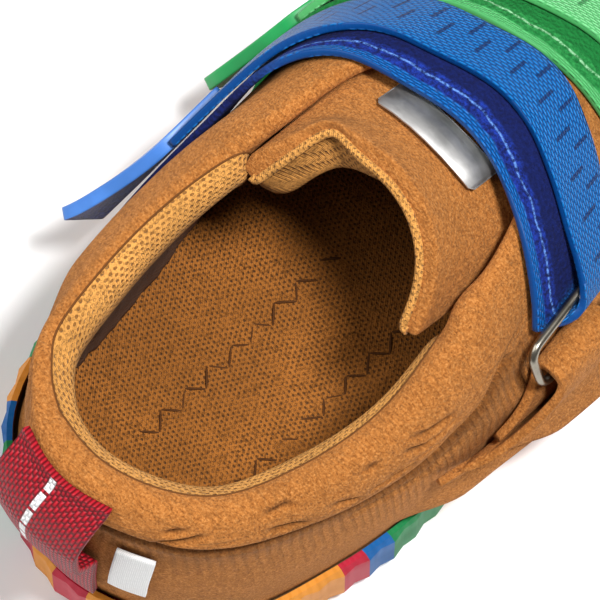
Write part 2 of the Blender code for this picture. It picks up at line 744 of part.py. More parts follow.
def ring_rows(belt, bar, other):
    """Wire path of a ring: a rounded rectangle whose long sides are the two bars."""
    wide = belt.across(bar)
    first = belt.at(bar, 0, BAR_LIFT)
    second = belt.at(other, 0, BAR_LIFT)
    aside = np.dot(second - first, wide)
    tall = 0.5 * (second - first - wide * aside)
    centre = first + tall + 0.2 * aside * wide
    high = np.linalg.norm(tall)
    upright = unit(tall)
    path = []
    for start, side, top in ((0, 1, 1), (1, -1, 1), (2, -1, -1), (3, 1, -1)):
        corner = centre + wide * side * (RING_HALF_WIDTH - RING_CORNER)
        corner = corner + upright * top * (high - RING_CORNER)
        for turn in np.linspace(start, start + 1, CORNER_STEPS) * np.pi / 2:
            path.append(corner + RING_CORNER * (wide * np.cos(turn) + upright * np.sin(turn)))
    return np.array(path)


def wire_object(name, path, colour):
    """A closed round wire along a path."""
    count = len(path)
    sides = WIRE_SIDES
    along = unit(np.roll(path, -1, axis=0) - np.roll(path, 1, axis=0))
    plane = unit(np.cross(path[0] - path.mean(axis=0), path[count // 4] - path.mean(axis=0)))
    points = []
    for spot, ahead in zip(path, along):
        out = np.cross(ahead, plane)
        for k in range(sides):
            turn = 2 * np.pi * k / sides
            points.append(spot + WIRE * (np.cos(turn) * out + np.sin(turn) * plane))
    faces = []
    for r in range(count):
        after = (r + 1) % count
        for k in range(sides):
            beyond = (k + 1) % sides
            faces.append([r * sides + k, r * sides + beyond, after * sides + beyond, after * sides + k])
    return mesh_object(name, points, faces, colour, 0.35, 1.0)


Fastening = namedtuple("Fastening", "name axis_z belt ring_angle tab_angle flare spread rise strap tab")
FASTENINGS = (
    Fastening("top", 28.0, TOP_BELT, 48.0, -72.0, 4.2, 16.5, 14.0, (0.01, 0.12, 0.45), (0.05, 0.20, 0.60)),
    Fastening("front", 25.0, FRONT_BELT, 74.0, -74.0, 1.0, 10.0, 3.0, (0.12, 0.56, 0.18), (0.0, 0.30, 0.07)),
)
METAL = (0.35, 0.33, 0.30)


def build_fastening(kind):
    """Strap, tab, ring and keeper along one belt."""
    belt = Belt((TONGUE_X, kind.axis_z), kind.belt, tree_of(upper, tongue))
    bar = belt.angle_length(kind.ring_angle)
    slant = np.dot(belt.tangent(bar), belt.ahead(bar, belt.across(bar)))
    other = bar + 2 * RING_HALF_HEIGHT / slant
    columns = np.linspace(-1, 1, 3)
    start, foot = belt.span_above_sole()
    end = belt.angle_length(kind.tab_angle)
    slab("strap_" + kind.name, strap_rows(belt, start, bar, end, columns), STRAP_THICK / 2, kind.strap)
    slab("strap_" + kind.name + "_tab", tab_rows(belt, end, kind.flare, columns), TAB_HALF, kind.tab, 0.45)
    wire_object("ring_" + kind.name, ring_rows(belt, bar, other), METAL)
    across = np.linspace(-1, 1, KEEPER_COLUMNS)
    keeper = keeper_rows(belt, bar, other, foot - KEEPER_CLEAR_OF_LIP, kind, across)
    slab("keeper_" + kind.name, keeper, KEEPER_THICK / 2, SUEDE, 0.9)


for fastening in FASTENINGS:
    build_fastening(fastening)

# Pull loop: webbing sewn to the back of the collar, standing off the heel and sewn down below.
LOOP_X = -1.5
LoopRow = namedtuple("LoopRow", "z stand_off")
LEAF_OFF = GAP + LOOP_THICK / 2 + 0.3
LOOP_ROWS = (
    LoopRow(54.4, LEAF_OFF),
    LoopRow(52.8, LEAF_OFF),
    LoopRow(51.6, 2.6),
    LoopRow(49.4, 4.6),
    LoopRow(46.0, 5.8),
    LoopRow(42.0, 6.0),
    LoopRow(38.2, 5.2),
    LoopRow(35.6, 3.0),
    LoopRow(33.8, LEAF_OFF + 0.1),
    LoopRow(27.0, LEAF_OFF),
    LoopRow(18.6, LEAF_OFF),
)
LABEL_X = 10.7
LABEL_WIDTH = 5.2
LABEL_TOP = 41.5
LABEL_BOTTOM = 27.5
LABEL_THICK = 0.7


def heel_back(x, z, tree):
    """Rearmost point of the upper at a width and a height."""
    hit = tree.ray_cast(Vector((x, -120, z)), Vector((0, 1, 0)))[0]
    return np.array(hit)


def build_heel_pieces():
    tree = tree_of(upper)
    across = LOOP_X + np.linspace(-0.5, 0.5, 5) * LOOP_WIDTH
    middle = [[heel_back(x, z, tree) - np.array([0, off, 0]) for x in across]
              for z, off in opened(LOOP_ROWS, 3)]
    slab("pull_loop", np.array(middle), LOOP_THICK / 2, (0.40, 0.0, 0.01), 0.8)
    across = LABEL_X + np.linspace(-0.5, 0.5, 4) * LABEL_WIDTH
    off = GAP + LABEL_THICK / 2 + 0.1
    middle = []
    for z in np.linspace(LABEL_TOP, LABEL_BOTTOM, 5):
        row = [heel_back(x, z, tree) for x in across]
        facing = unit(np.cross(row[-1] - row[0], np.array([0, 0, 1.0])))
        middle.append([spot + facing * off for spot in row])
    slab("heel_label", np.array(middle), LABEL_THICK / 2, (0.85, 0.85, 0.85), 0.8)


# Badge: a bare metal plate on the tongue, right behind the top strap.
BADGE_X = 0.2
BADGE_Y = 2.4
BADGE_LENGTH = 17.5
BADGE_DEPTH = 5.6
BADGE_THICK = 1.2


def build_badge():
    tree = tree_of(tongue)
    middle = []
    for y in BADGE_Y + np.linspace(-0.5, 0.5, 3) * BADGE_DEPTH:
        row = []
        for x in BADGE_X + np.linspace(-0.5, 0.5, 7) * BADGE_LENGTH:
            hit, facing, _, _ = tree.ray_cast(Vector((x, y, 120)), Vector((0, 0, -1)))
            row.append(np.array(hit + facing * (GAP + BADGE_THICK / 2 + 0.15)))
        middle.append(row)
    slab("badge", np.array(middle), BADGE_THICK / 2, (0.42, 0.40, 0.38), 0.4, 1.0)


def centre_on_floor():
    """Move every piece so that the middle of the shoe's box stands over the origin."""
    pieces = list(bpy.data.objects)
    corners = np.array([v.co for piece in pieces if piece.name != CUTTER for v in piece.data.vertices])
    middle = 0.5 * (corners.min(axis=0) + corners.max(axis=0))
    for piece in pieces:
        for vertex in piece.data.vertices:
            vertex.co -= Vector((middle[0], middle[1], 0))


build_heel_pieces()
build_badge()
centre_on_floor()
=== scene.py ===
import math

import bmesh
import bpy
import numpy as np
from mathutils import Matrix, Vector, kdtree


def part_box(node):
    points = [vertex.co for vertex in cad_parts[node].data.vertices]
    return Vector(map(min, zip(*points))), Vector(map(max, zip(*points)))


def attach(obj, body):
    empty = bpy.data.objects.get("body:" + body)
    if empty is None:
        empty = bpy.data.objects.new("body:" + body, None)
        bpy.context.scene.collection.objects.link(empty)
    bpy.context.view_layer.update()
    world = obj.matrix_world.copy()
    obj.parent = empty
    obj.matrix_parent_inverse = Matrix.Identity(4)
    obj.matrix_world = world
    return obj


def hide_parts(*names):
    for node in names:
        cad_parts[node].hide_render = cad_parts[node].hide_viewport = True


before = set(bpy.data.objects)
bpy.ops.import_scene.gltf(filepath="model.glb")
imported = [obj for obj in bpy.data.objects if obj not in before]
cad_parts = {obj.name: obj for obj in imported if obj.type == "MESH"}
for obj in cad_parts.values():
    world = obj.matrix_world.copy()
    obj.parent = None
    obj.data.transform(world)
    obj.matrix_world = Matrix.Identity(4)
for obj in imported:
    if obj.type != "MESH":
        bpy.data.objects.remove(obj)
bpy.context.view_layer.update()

# Studio: a plain white table under two soft lamps, and a camera that looks down
# into the shoe from behind its medial side, as the photographer stood.
MM = 0.001
AIM = Vector((-0.48, -30.48, 45.0)) * MM
AZIMUTH = math.radians(46.0)
ELEVATION = math.radians(75.0)
DISTANCE = 0.70
PIXELS_PER_MM = 7.3
AIM_PIXEL = (263.0, 323.0)
PICTURE = 600.0
SENSOR = 36.0
TABLE_DROP = 0.0002
TABLE_WHITE = (0.92, 0.92, 0.92, 1.0)
SKY_STRENGTH = 0.18
studio = bpy.context.scene


def towards(azimuth, elevation):
    """Unit vector from the shoe towards a lamp or camera."""
    return Vector((math.sin(azimuth) * math.cos(elevation), -math.cos(azimuth) * math.cos(elevation),
                   math.sin(elevation)))


camera = bpy.data.objects.new("camera", bpy.data.cameras.new("camera"))
camera.data.sensor_width = SENSOR
camera.data.lens = SENSOR * DISTANCE / (PICTURE / PIXELS_PER_MM * MM)
camera.data.shift_x = (PICTURE / 2 - AIM_PIXEL[0]) / PICTURE
camera.data.shift_y = (AIM_PIXEL[1] - PICTURE / 2) / PICTURE
camera.data.clip_start = 0.01
camera.location = AIM + towards(AZIMUTH, ELEVATION) * DISTANCE
camera.rotation_euler = towards(AZIMUTH, ELEVATION).to_track_quat("Z", "Y").to_euler()
studio.collection.objects.link(camera)
studio.camera = camera


def lamp(name, azimuth, elevation, distance, size, watts):
    """A square soft box that faces the shoe."""
    light = bpy.data.objects.new(name, bpy.data.lights.new(name, "AREA"))
    light.data.size = size
    light.data.energy = watts
    facing = towards(math.radians(azimuth), math.radians(elevation))
    light.location = facing * distance
    light.rotation_euler = facing.to_track_quat("Z", "Y").to_euler()
    studio.collection.objects.link(light)


lamp("key_lamp", azimuth=112.0, elevation=76.0, distance=0.9, size=0.13, watts=10.5)
lamp("side_lamp", azimuth=315.0, elevation=54.0, distance=1.0, size=0.7, watts=5.2)
world = bpy.data.worlds.new("studio")
world.use_nodes = True
world.node_tree.nodes["Background"].inputs["Color"].default_value = (1.0, 1.0, 1.0, 1.0)
world.node_tree.nodes["Background"].inputs["Strength"].default_value = SKY_STRENGTH
studio.world = world
studio.view_settings.view_transform = "Standard"

table_shape = bmesh.new()
bmesh.ops.create_grid(table_shape, x_segments=1, y_segments=1, size=4.0)
table_mesh = bpy.data.meshes.new("table")
table_shape.to_mesh(table_mesh)
table_shape.free()
table = bpy.data.objects.new("table", table_mesh)
table.location.z = -TABLE_DROP
studio.collection.objects.link(table)


def finish_of(name, roughness, **sockets):
    """A new material with its constant sockets set; returns material, tree and shader."""
    material = bpy.data.materials.new(name)
    material.use_nodes = True
    shader = material.node_tree.nodes["Principled BSDF"]
    shader.inputs["Roughness"].default_value = roughness
    for key, value in sockets.items():
        shader.inputs[key.replace("_", " ")].default_value = value
    return material, material.node_tree, shader


table_mesh.materials.append(finish_of("table_paint", 0.8, Base_Color=TABLE_WHITE)[0])

# Outsole: a moulded rubber cup with a ribbed wall and cut lugs. Its wall is cast in blocks
# of orange, red, blue and green, and the suede upper is stuck down inside its lip.
SPINE_REAR = -39.4 * MM
SPINE_FRONT = 44.6 * MM
SPINE_X = 1.5 * MM


def merged_copy(node):
    """A CAD node's loose triangles as one joined shape in quads."""
    shape = bmesh.new()
    shape.from_mesh(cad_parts[node].data)
    bmesh.ops.remove_doubles(shape, verts=shape.verts, dist=0.02 * MM)
    bmesh.ops.join_triangles(shape, faces=shape.faces, angle_face_threshold=0.9, angle_shape_threshold=1.8)
    return shape


def piece_from(shape, name, node):
    """A piece that stands for a CAD node, with its mesh at the origin."""
    mesh = bpy.data.meshes.new(name)
    shape.to_mesh(mesh)
    shape.free()
    piece = bpy.data.objects.new(name, mesh)
    studio.collection.objects.link(piece)
    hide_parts(node)
    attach(piece, "root")
    return piece


def set_uv(piece, name, place):
    """Lay a UV map from a rule on corner points and on the middles of their faces."""
    mesh = piece.data
    points = np.zeros(len(mesh.vertices) * 3)
    mesh.vertices.foreach_get("co", points)
    corners = np.zeros(len(mesh.loops), int)
    mesh.loops.foreach_get("vertex_index", corners)
    centres = np.zeros(len(mesh.polygons) * 3)
    mesh.polygons.foreach_get("center", centres)
    counts = np.zeros(len(mesh.polygons), int)
    mesh.polygons.foreach_get("loop_total", counts)
    flat = place(points.reshape(-1, 3)[corners], np.repeat(centres.reshape(-1, 3), counts, axis=0))
    layer = mesh.uv_layers.new(name=name)
    layer.data.foreach_set("uv", flat.astype(np.float32).ravel())


def round_the_foot(radius):
    """Rule that unrolls a wall round the foot: length from the heel's back, and height."""
    def place(points, centres):
        aside = np.abs(points[:, 0] - SPINE_X)
        heel = radius * np.arctan2(aside, np.maximum(SPINE_REAR - points[:, 1], 0))
        toe = radius * np.arctan2(np.maximum(points[:, 1] - SPINE_FRONT, 0), aside)
        middle = np.clip(points[:, 1], SPINE_REAR, SPINE_FRONT) - SPINE_REAR
        side = np.where(centres[:, 0] < SPINE_X, -1.0, 1.0)
        return np.stack([side * (heel + middle + toe), points[:, 2]], axis=1)
    return place


RUBBER = {
    "orange": (0.66, 0.25, 0.030, 1.0),
    "red": (0.44, 0.012, 0.035, 1.0),
    "blue": (0.004, 0.105, 0.34, 1.0),
    "green": (0.008, 0.21, 0.060, 1.0),
}
DUSTED = (0.85, 0.85, 0.85, 1.0)
CUP_LINING = (0.16, 0.075, 0.025, 1.0)
LIP_FOOT = 7 * MM
FLOOR_TOP = 12 * MM
FLOOR_REACH = 25 * MM
WALL_RADIUS = 29.0 * MM
BLOCK_SPAN = 140.0
BLOCKS = (
    (-140.0, "orange"), (-104.0, "blue"), (-92.0, "orange"), (-78.0, "red"), (-68.0, "orange"),
    (-48.0, "green"), (-42.5, "red"), (-38.0, "green"), (-33.0, "orange"), (-27.0, "blue"),
    (-21.0, "green"), (-12.0, "red"), (-7.0, "orange"), (-2.5, "red"), (3.0, "orange"),
    (12.0, "blue"), (18.0, "green"), (26.0, "orange"), (42.0, "red"), (47.0, "blue"),
    (50.5, "green"), (62.0, "orange"), (80.0, "red"), (90.0, "orange"), (104.0, "blue"), (112.0, "orange"),
)


def feed(tree, socket, value):
    """Link a socket to a source, or set it to a constant."""
    if isinstance(value, bpy.types.NodeSocket):
        tree.links.new(value, socket)
    else:
        socket.default_value = value


def add_node(tree, kind, settings=None, **inputs):
    """Add a shader node with its settings, and feed its inputs."""
    node = tree.nodes.new("ShaderNode" + kind)
    for key, value in (settings or {}).items():
        setattr(node, key, value)
    for key, value in inputs.items():
        feed(tree, node.inputs[key.replace("_", " ")], value)
    return node


def maths(tree, operation, first, second=0.0, third=0.0):
    """A sum of the given kind on sockets or numbers."""
    node = add_node(tree, "Math", {"operation": operation})
    for socket, value in zip(node.inputs, (first, second, third)):
        feed(tree, socket, value)
    return node.outputs[0]


def mixed(tree, share, first, second, blend="MIX"):
    """Two colours mixed by a share."""
    node = add_node(tree, "Mix", {"data_type": "RGBA", "blend_type": blend})
    for number, value in ((0, share), (6, first), (7, second)):
        feed(tree, node.inputs[number], value)
    return node.outputs[2]


def stepped(tree, value, low, high):
    """A soft step from 0 at low to 1 at high."""
    node = add_node(tree, "MapRange", {"interpolation_type": "SMOOTHSTEP"},
                    Value=value, From_Min=low, From_Max=high)
    return node.outputs["Result"]


def on_object(tree):
    """Place on the object itself."""
    return add_node(tree, "TexCoord").outputs["Object"]


def on_map(tree, name):
    """Place on a UV map."""
    return add_node(tree, "UVMap", {"uv_map": name}).outputs["UV"]


def noise(tree, place, scale, detail, **inputs):
    """Soft noise from 0 to 1."""
    return add_node(tree, "TexNoise", Vector=place, Scale=scale, Detail=detail, **inputs).outputs["Fac"]


def paint(tree, shader, colour):
    """A colour drawn by the tree as the surface's own."""
    tree.links.new(colour, shader.inputs["Base Color"])


def roughen(tree, shader, value, low, high):
    """Roughness that goes from low to high with a value."""
    node = add_node(tree, "MapRange", Value=value, To_Min=low, To_Max=high)
    tree.links.new(node.outputs["Result"], shader.inputs["Roughness"])


def emboss(tree, shader, height, strength, distance):
    """A height that tilts the shaded surface."""
    node = add_node(tree, "Bump", Height=height, Strength=strength, Distance=distance)
    tree.links.new(node.outputs["Normal"], shader.inputs["Normal"])


def rubber_finish():
    """Dusty rubber in colour blocks round the wall, with fine upright teeth."""
    material, tree, shader = finish_of("sole_rubber", 0.6, Specular_IOR_Level=0.15)
    unrolled = on_map(tree, "round")
    split = add_node(tree, "SeparateXYZ", Vector=unrolled)
    along = maths(tree, "MULTIPLY_ADD", split.outputs["X"], 1 / (2 * BLOCK_SPAN * MM), 0.5)
    ramp = add_node(tree, "ValToRGB", Fac=along)
    ramp.color_ramp.interpolation = "CONSTANT"
    marks = ramp.color_ramp.elements
    while len(marks) < len(BLOCKS):
        marks.new(0.5)
    for mark, (start, colour) in zip(marks, BLOCKS):
        mark.position = start / (2 * BLOCK_SPAN) + 0.5
        mark.color = RUBBER[colour]
    place = on_object(tree)
    dust = noise(tree, place, 140.0, 4.0)
    shade = mixed(tree, stepped(tree, dust, 0.35, 0.75), ramp.outputs["Color"], DUSTED, "MULTIPLY")
    paint(tree, shader, shade)
    grain = noise(tree, place, 2600.0, 2.0)
    teeth = add_node(tree, "TexWave", {"bands_direction": "X"}, Vector=unrolled, Scale=190.0)
    height = maths(tree, "MULTIPLY_ADD", grain, 0.25, teeth.outputs["Fac"])
    emboss(tree, shader, height, 0.6, 0.25 * MM)
    roughen(tree, shader, dust, 0.45, 0.7)
    return material


def to_spine(spot):
    """Level way from a point to the foot's middle line."""
    return Vector((SPINE_X, min(max(spot.y, SPINE_REAR), SPINE_FRONT), spot.z)) - spot


outsole_shape = merged_copy("outsole")
outsole_shape.normal_update()
for face in outsole_shape.faces:
    middle = face.calc_center_median()
    inward = to_spine(middle)
    walled = middle.z > LIP_FOOT and face.normal.dot(inward.normalized()) > 0.4
    floored = face.normal.z > 0.7 and middle.z < FLOOR_TOP and inward.length < FLOOR_REACH
    face.material_index = 1 if walled or floored else 0
outsole = piece_from(outsole_shape, "cup_sole", "outsole")
outsole.data.shade_smooth()
outsole.data.set_sharp_from_angle(angle=0.5)
set_uv(outsole, "round", round_the_foot(WALL_RADIUS))
outsole.data.materials.append(rubber_finish())
outsole.data.materials.append(finish_of("cup_lining", 0.95, Base_Color=CUP_LINING)[0])

# Insole: a foam footbed covered in brown knit mesh, laid loose in the cup; two rows of
# dark zigzag stitches hold the knit to the foam.
INSOLE_KNIT = (0.42, 0.148, 0.027, 1.0)
INSOLE_HOLLOW = (0.075, 0.030, 0.008, 1.0)
INSOLE_PITCH = 0.8 * MM
ZIGZAG_ROWS = ((-6.4, -48.5, -9.0), (8.4, -44.0, -9.0))
ZIGZAG_STEP = 2.25 * MM
ZIGZAG_REACH = 1.1 * MM
ZIGZAG_RADIUS = 0.19 * MM
ZIGZAG_SINK = 0.2 * MM
STITCH_BROWN = (0.105, 0.038, 0.011, 1.0)


def new_group(name, sizes, results):
    """A node group from a place and sizes to values; returns it, its inputs and its results."""
    group = bpy.data.node_groups.new(name, "ShaderNodeTree")
    group.interface.new_socket(name="Place", in_out="INPUT", socket_type="NodeSocketVector")
    for in_out, sockets in (("INPUT", sizes), ("OUTPUT", results)):
        for socket in sockets:
            group.interface.new_socket(name=socket, in_out=in_out, socket_type="NodeSocketFloat")
    given = group.nodes.new("NodeGroupInput")
    return group, given.outputs, group.nodes.new("NodeGroupOutput").inputs


def knit_group():
    """Knit mesh as masks: rows of small holes set half a step over, and the thread's height."""
    group, given, result = new_group("knit_mesh", ("Pitch",), ("Hole", "Height"))
    wander = noise(group, given["Place"], 260.0, 1.0)
    split = add_node(group, "SeparateXYZ", Vector=given["Place"])
    across = maths(group, "DIVIDE", split.outputs["X"], given["Pitch"])
    across = maths(group, "MULTIPLY_ADD", wander, 0.5, across)
    up = maths(group, "DIVIDE", split.outputs["Y"], given["Pitch"])
    up = maths(group, "MULTIPLY", up, 1.2)
    row = maths(group, "FLOOR", up)
    odd = maths(group, "MODULO", maths(group, "ABSOLUTE", row), 2.0)
    across = maths(group, "MULTIPLY_ADD", odd, 0.5, across)
    dx = maths(group, "SUBTRACT", maths(group, "FRACT", across), 0.5)
    dy = maths(group, "SUBTRACT", maths(group, "SUBTRACT", up, row), 0.5)
    dx = maths(group, "MULTIPLY", dx, 0.85)
    far = maths(group, "SQRT", maths(group, "MULTIPLY_ADD", dx, dx, maths(group, "MULTIPLY", dy, dy)))
    hole = stepped(group, far, 0.30, 0.12)
    twist = maths(group, "SINE", maths(group, "MULTIPLY", maths(group, "ADD", across, up), 12.6))
    height = maths(group, "SUBTRACT", maths(group, "MULTIPLY", twist, 0.12), hole)
    group.links.new(hole, result["Hole"])
    group.links.new(height, result["Height"])
    return group


KNIT = knit_group()


def dimmed(colour, share):
    """A share of a colour's brightness."""
    return tuple(share * c for c in colour[:3]) + (1.0,)


def knit_finish(name, pitch, thread, hollow, depth, uv_map=None, low=None):
    """Knit mesh over foam: pale thread, dark holes, an uneven tint; low is the colour far down, a darker mesh
    with painted shade.
    """
    material, tree, shader = finish_of(name, 0.95, Sheen_Weight=0.05, Specular_IOR_Level=0.1)
    source = on_object(tree)
    place = on_map(tree, uv_map) if uv_map else source
    knit = add_node(tree, "Group", {"node_tree": KNIT}, Place=place, Pitch=pitch)
    tint = noise(tree, source, 90.0, 3.0)
    fibre = noise(tree, source, 2300.0, 3.0, Roughness=0.7)
    colour = mixed(tree, stepped(tree, tint, 0.35, 0.7), dimmed(thread, 0.78), thread)
    colour = mixed(tree, stepped(tree, fibre, 0.56, 0.36), colour, dimmed(thread, 0.45))
    patch = noise(tree, source, 420.0, 1.0)
    open_share = maths(tree, "MULTIPLY", stepped(tree, patch, 0.32, 0.55), depth)
    colour = mixed(tree, maths(tree, "MULTIPLY", knit.outputs["Hole"], open_share), colour, hollow)
    # Towards LOW_LOWER the colour turns to low: partly a darker mesh, partly painted shade.
    if low:
        high = add_node(tree, "SeparateXYZ", Vector=source).outputs["Z"]
        colour = mixed(tree, stepped(tree, high, LOW_UPPER, LOW_LOWER), colour, low)
    paint(tree, shader, colour)
    height = maths(tree, "MULTIPLY_ADD", fibre, 0.5, knit.outputs["Height"])
    emboss(tree, shader, height, 0.9, 0.3 * MM)
    return material


def rounded_piece(shape, name, node, levels, angle=0.0, weight=0.0):
    """A piece rounded by a subdivision surface; a weight holds the edges sharper than an angle."""
    if weight:
        held = shape.edges.layers.float.new("crease_edge")
        for edge in shape.edges:
            if len(edge.link_faces) == 2 and edge.calc_face_angle() > angle:
                edge[held] = weight
    piece = piece_from(shape, name, node)
    rounding = piece.modifiers.new("rounding", "SUBSURF")
    rounding.levels = levels
    rounding.render_levels = levels
    graph = bpy.context.evaluated_depsgraph_get()
    mesh = bpy.data.meshes.new_from_object(piece.evaluated_get(graph))
    piece.modifiers.clear()
    piece.data = mesh
    mesh.shade_smooth()
    return piece


def add_threads(name, paths, radius, material):
    """Sewing thread laid along paths, as one mesh piece."""
    route = bpy.data.curves.new(name, "CURVE")
    route.dimensions = "3D"
    route.bevel_depth = radius
    route.bevel_resolution = 1
    route.use_fill_caps = True
    for path in paths:
        spline = route.splines.new("POLY")
        spline.points.add(len(path) - 1)
        for point, spot in zip(spline.points, path):
            point.co = (*spot, 1.0)
    holder = bpy.data.objects.new(name + "_route", route)
    mesh = bpy.data.meshes.new_from_object(holder)
    bpy.data.objects.remove(holder)
    mesh.name = name
    mesh.shade_smooth()
    mesh.materials.append(material)
    piece = bpy.data.objects.new(name, mesh)
    studio.collection.objects.link(piece)
    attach(piece, "root")
    return piece


def thread_finish(name, colour):
    """Twisted polyester thread."""
    material, tree, shader = finish_of(name, 0.8, Specular_IOR_Level=0.1)
    ply = noise(tree, on_object(tree), 1800.0, 2.0)
    paint(tree, shader, mixed(tree, ply, dimmed(colour, 0.6), colour))
    emboss(tree, shader, ply, 0.6, 0.1 * MM)
    return material


insole = rounded_piece(merged_copy("insole"), "footbed", "insole", 2, 0.8, 0.6)
insole.data.materials.append(knit_finish("footbed_knit", INSOLE_PITCH, INSOLE_KNIT, INSOLE_HOLLOW, 0.8))
insole_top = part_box("insole")
stitch_thread = thread_finish("brown_thread", STITCH_BROWN)


def drop_on(piece, x, y):
    """Height of a piece's top under a point."""
    hit, spot, _, _ = piece.ray_cast(Vector((x, y, 0.2)), Vector((0, 0, -1)))
    return spot.z if hit else insole_top[1][2]


bpy.context.view_layer.update()
jitter = np.random.default_rng(4)
zigzags = []
for row_x, row_rear, row_front in ZIGZAG_ROWS:
    count = int((row_front - row_rear) * MM / ZIGZAG_STEP)
    corners = []
    for k in range(count + 1):
        x = row_x * MM + ZIGZAG_REACH * (1 if k % 2 else -1) + jitter.uniform(-0.25, 0.25) * MM
        y = row_rear * MM + (k + jitter.uniform(-0.12, 0.12)) * ZIGZAG_STEP
        corners.append(Vector((x, y, drop_on(insole, x, y) - ZIGZAG_SINK)))
    for a, b in zip(corners[:-1], corners[1:]):
        high = Vector((0, 0, jitter.uniform(0.0, 0.42) * MM))
        zigzags.append([a, a.lerp(b, 0.25) + high, a.lerp(b, 0.7) + high, b])
add_threads("footbed_zigzag", zigzags, ZIGZAG_RADIUS, stitch_thread)

# Upper: tan suede cut in one shell and closed at the heel, lined with pale knit mesh over
# foam. The collar is stuffed to a fat roll whose lower edge is pinched in by a seam.
SUEDE_TAN = (0.45, 0.165, 0.036, 1.0)
SUEDE_DEEP = (0.235, 0.076, 0.015, 1.0)
SUEDE_PALE = (0.60, 0.255, 0.072, 1.0)
# Dark brown for scuff lines, and for painted shade in grooves, creases and under the collar roll.
SUEDE_SHADE_AND_SCUFF = (0.085, 0.028, 0.007, 1.0)
LINING_KNIT = (0.74, 0.345, 0.085, 1.0)
LINING_HOLLOW = (0.20, 0.078, 0.018, 1.0)
# Lower lining: a darker brown mesh, deepened further as painted shade towards the foot of the wall.
LINING_LOW_MESH_AND_SHADE = (0.11, 0.040, 0.009, 1.0)
LOW_UPPER = 49 * MM
LOW_LOWER = 40 * MM
LINING_PITCH = 1.0 * MM
RIB_PITCH = 1.25 * MM
SEAM_BROWN = (0.16, 0.060, 0.016, 1.0)
SEAM_RADIUS = 0.17 * MM
COLLAR_RADIUS = 19.0 * MM
RIM_LOWEST = 40 * MM
MEDIAL_TURN = ((-45, -29, -13, 5), (51, 59, 79, 97))
LATERAL_TURN = ((-60, -50, -22, -14), (51, 0, 0, 79))
KNIT_FRONT = -15.0 * MM


def kept_value(tree, name):
    """A value kept at the mesh's points."""
    return add_node(tree, "Attribute", {"attribute_name": name}).outputs["Fac"]


def suede_finish():
    """Brushed suede: short nap in light and dark flecks, ribs and streaks where squeezed; painted shade in
    grooves and creases.
    """
    material, tree, shader = finish_of("tan_suede", 0.95, Sheen_Weight=0.1, Sheen_Roughness=0.5,
                                       Sheen_Tint=(1.0, 0.66, 0.36, 1.0), Specular_IOR_Level=0.12)
    place = on_object(tree)
    unrolled = on_map(tree, "round")
    drift = noise(tree, place, 60.0, 3.0, Roughness=0.5)
    nap = noise(tree, place, 2600.0, 4.0, Roughness=0.75)
    tuft = noise(tree, place, 950.0, 3.0, Roughness=0.7)
    squeeze, streak, painted_shade = [kept_value(tree, name) for name in ("ribs", "arcs", "painted_shade")]
    length = add_node(tree, "SeparateXYZ", Vector=unrolled).outputs["X"]
    bend = maths(tree, "MULTIPLY_ADD", drift, 2.5 * MM, length)
    ribs = maths(tree, "SINE", maths(tree, "MULTIPLY", bend, 2 * math.pi / RIB_PITCH))
    ribs = maths(tree, "MULTIPLY", stepped(tree, ribs, -0.9, 0.2), squeeze)
    drawn_out = add_node(tree, "Mapping", Vector=unrolled, Scale=(70.0, 1000.0, 1.0))
    arcs = stepped(tree, noise(tree, drawn_out.outputs["Vector"], 1.0, 2.0), 0.36, 0.5)
    arcs = maths(tree, "MULTIPLY", arcs, streak)
    raised = maths(tree, "ADD", ribs, arcs)
    # Painted shade: the squeezed bands darken between their raised ribs and streaks.
    shade = maths(tree, "SUBTRACT", maths(tree, "ADD", squeeze, streak), raised)
    scuff = add_node(tree, "Mapping", Vector=place, Rotation=(0.4, 0.3, 0.8), Scale=(260.0, 900.0, 520.0))
    grain = noise(tree, scuff.outputs["Vector"], 1.0, 4.0, Distortion=1.2)
    lines = maths(tree, "ABSOLUTE", maths(tree, "SUBTRACT", grain, 0.5))
    lines = maths(tree, "SUBTRACT", 1.0, stepped(tree, lines, 0.0, 0.035))
    colour = mixed(tree, stepped(tree, drift, 0.25, 0.7), dimmed(SUEDE_TAN, 0.84), SUEDE_TAN)
    # Mixes: nap flecks and tufts, painted shade between ribs and streaks, scuff lines, and painted shade in
    # creases and under the roll.
    for mask, share, tint in (
            (stepped(tree, nap, 0.51, 0.64), 0.8, SUEDE_PALE),
            (stepped(tree, nap, 0.49, 0.37), 0.95, SUEDE_DEEP),
            (stepped(tree, tuft, 0.48, 0.34), 0.5, SUEDE_DEEP),
            (shade, 0.3, SUEDE_SHADE_AND_SCUFF), (lines, 0.1, SUEDE_SHADE_AND_SCUFF), (painted_shade, 1.0, SUEDE_SHADE_AND_SCUFF)):
        colour = mixed(tree, maths(tree, "MULTIPLY", mask, share), colour, tint)
    paint(tree, shader, colour)
    height = maths(tree, "MULTIPLY_ADD", nap, 0.8, maths(tree, "MULTIPLY", tuft, 1.3))
    height = maths(tree, "MULTIPLY_ADD", raised, 0.6, height)
    height = maths(tree, "MULTIPLY_ADD", lines, -0.25, height)
    emboss(tree, shader, height, 0.9, 0.32 * MM)
    return material


SUEDE = suede_finish()


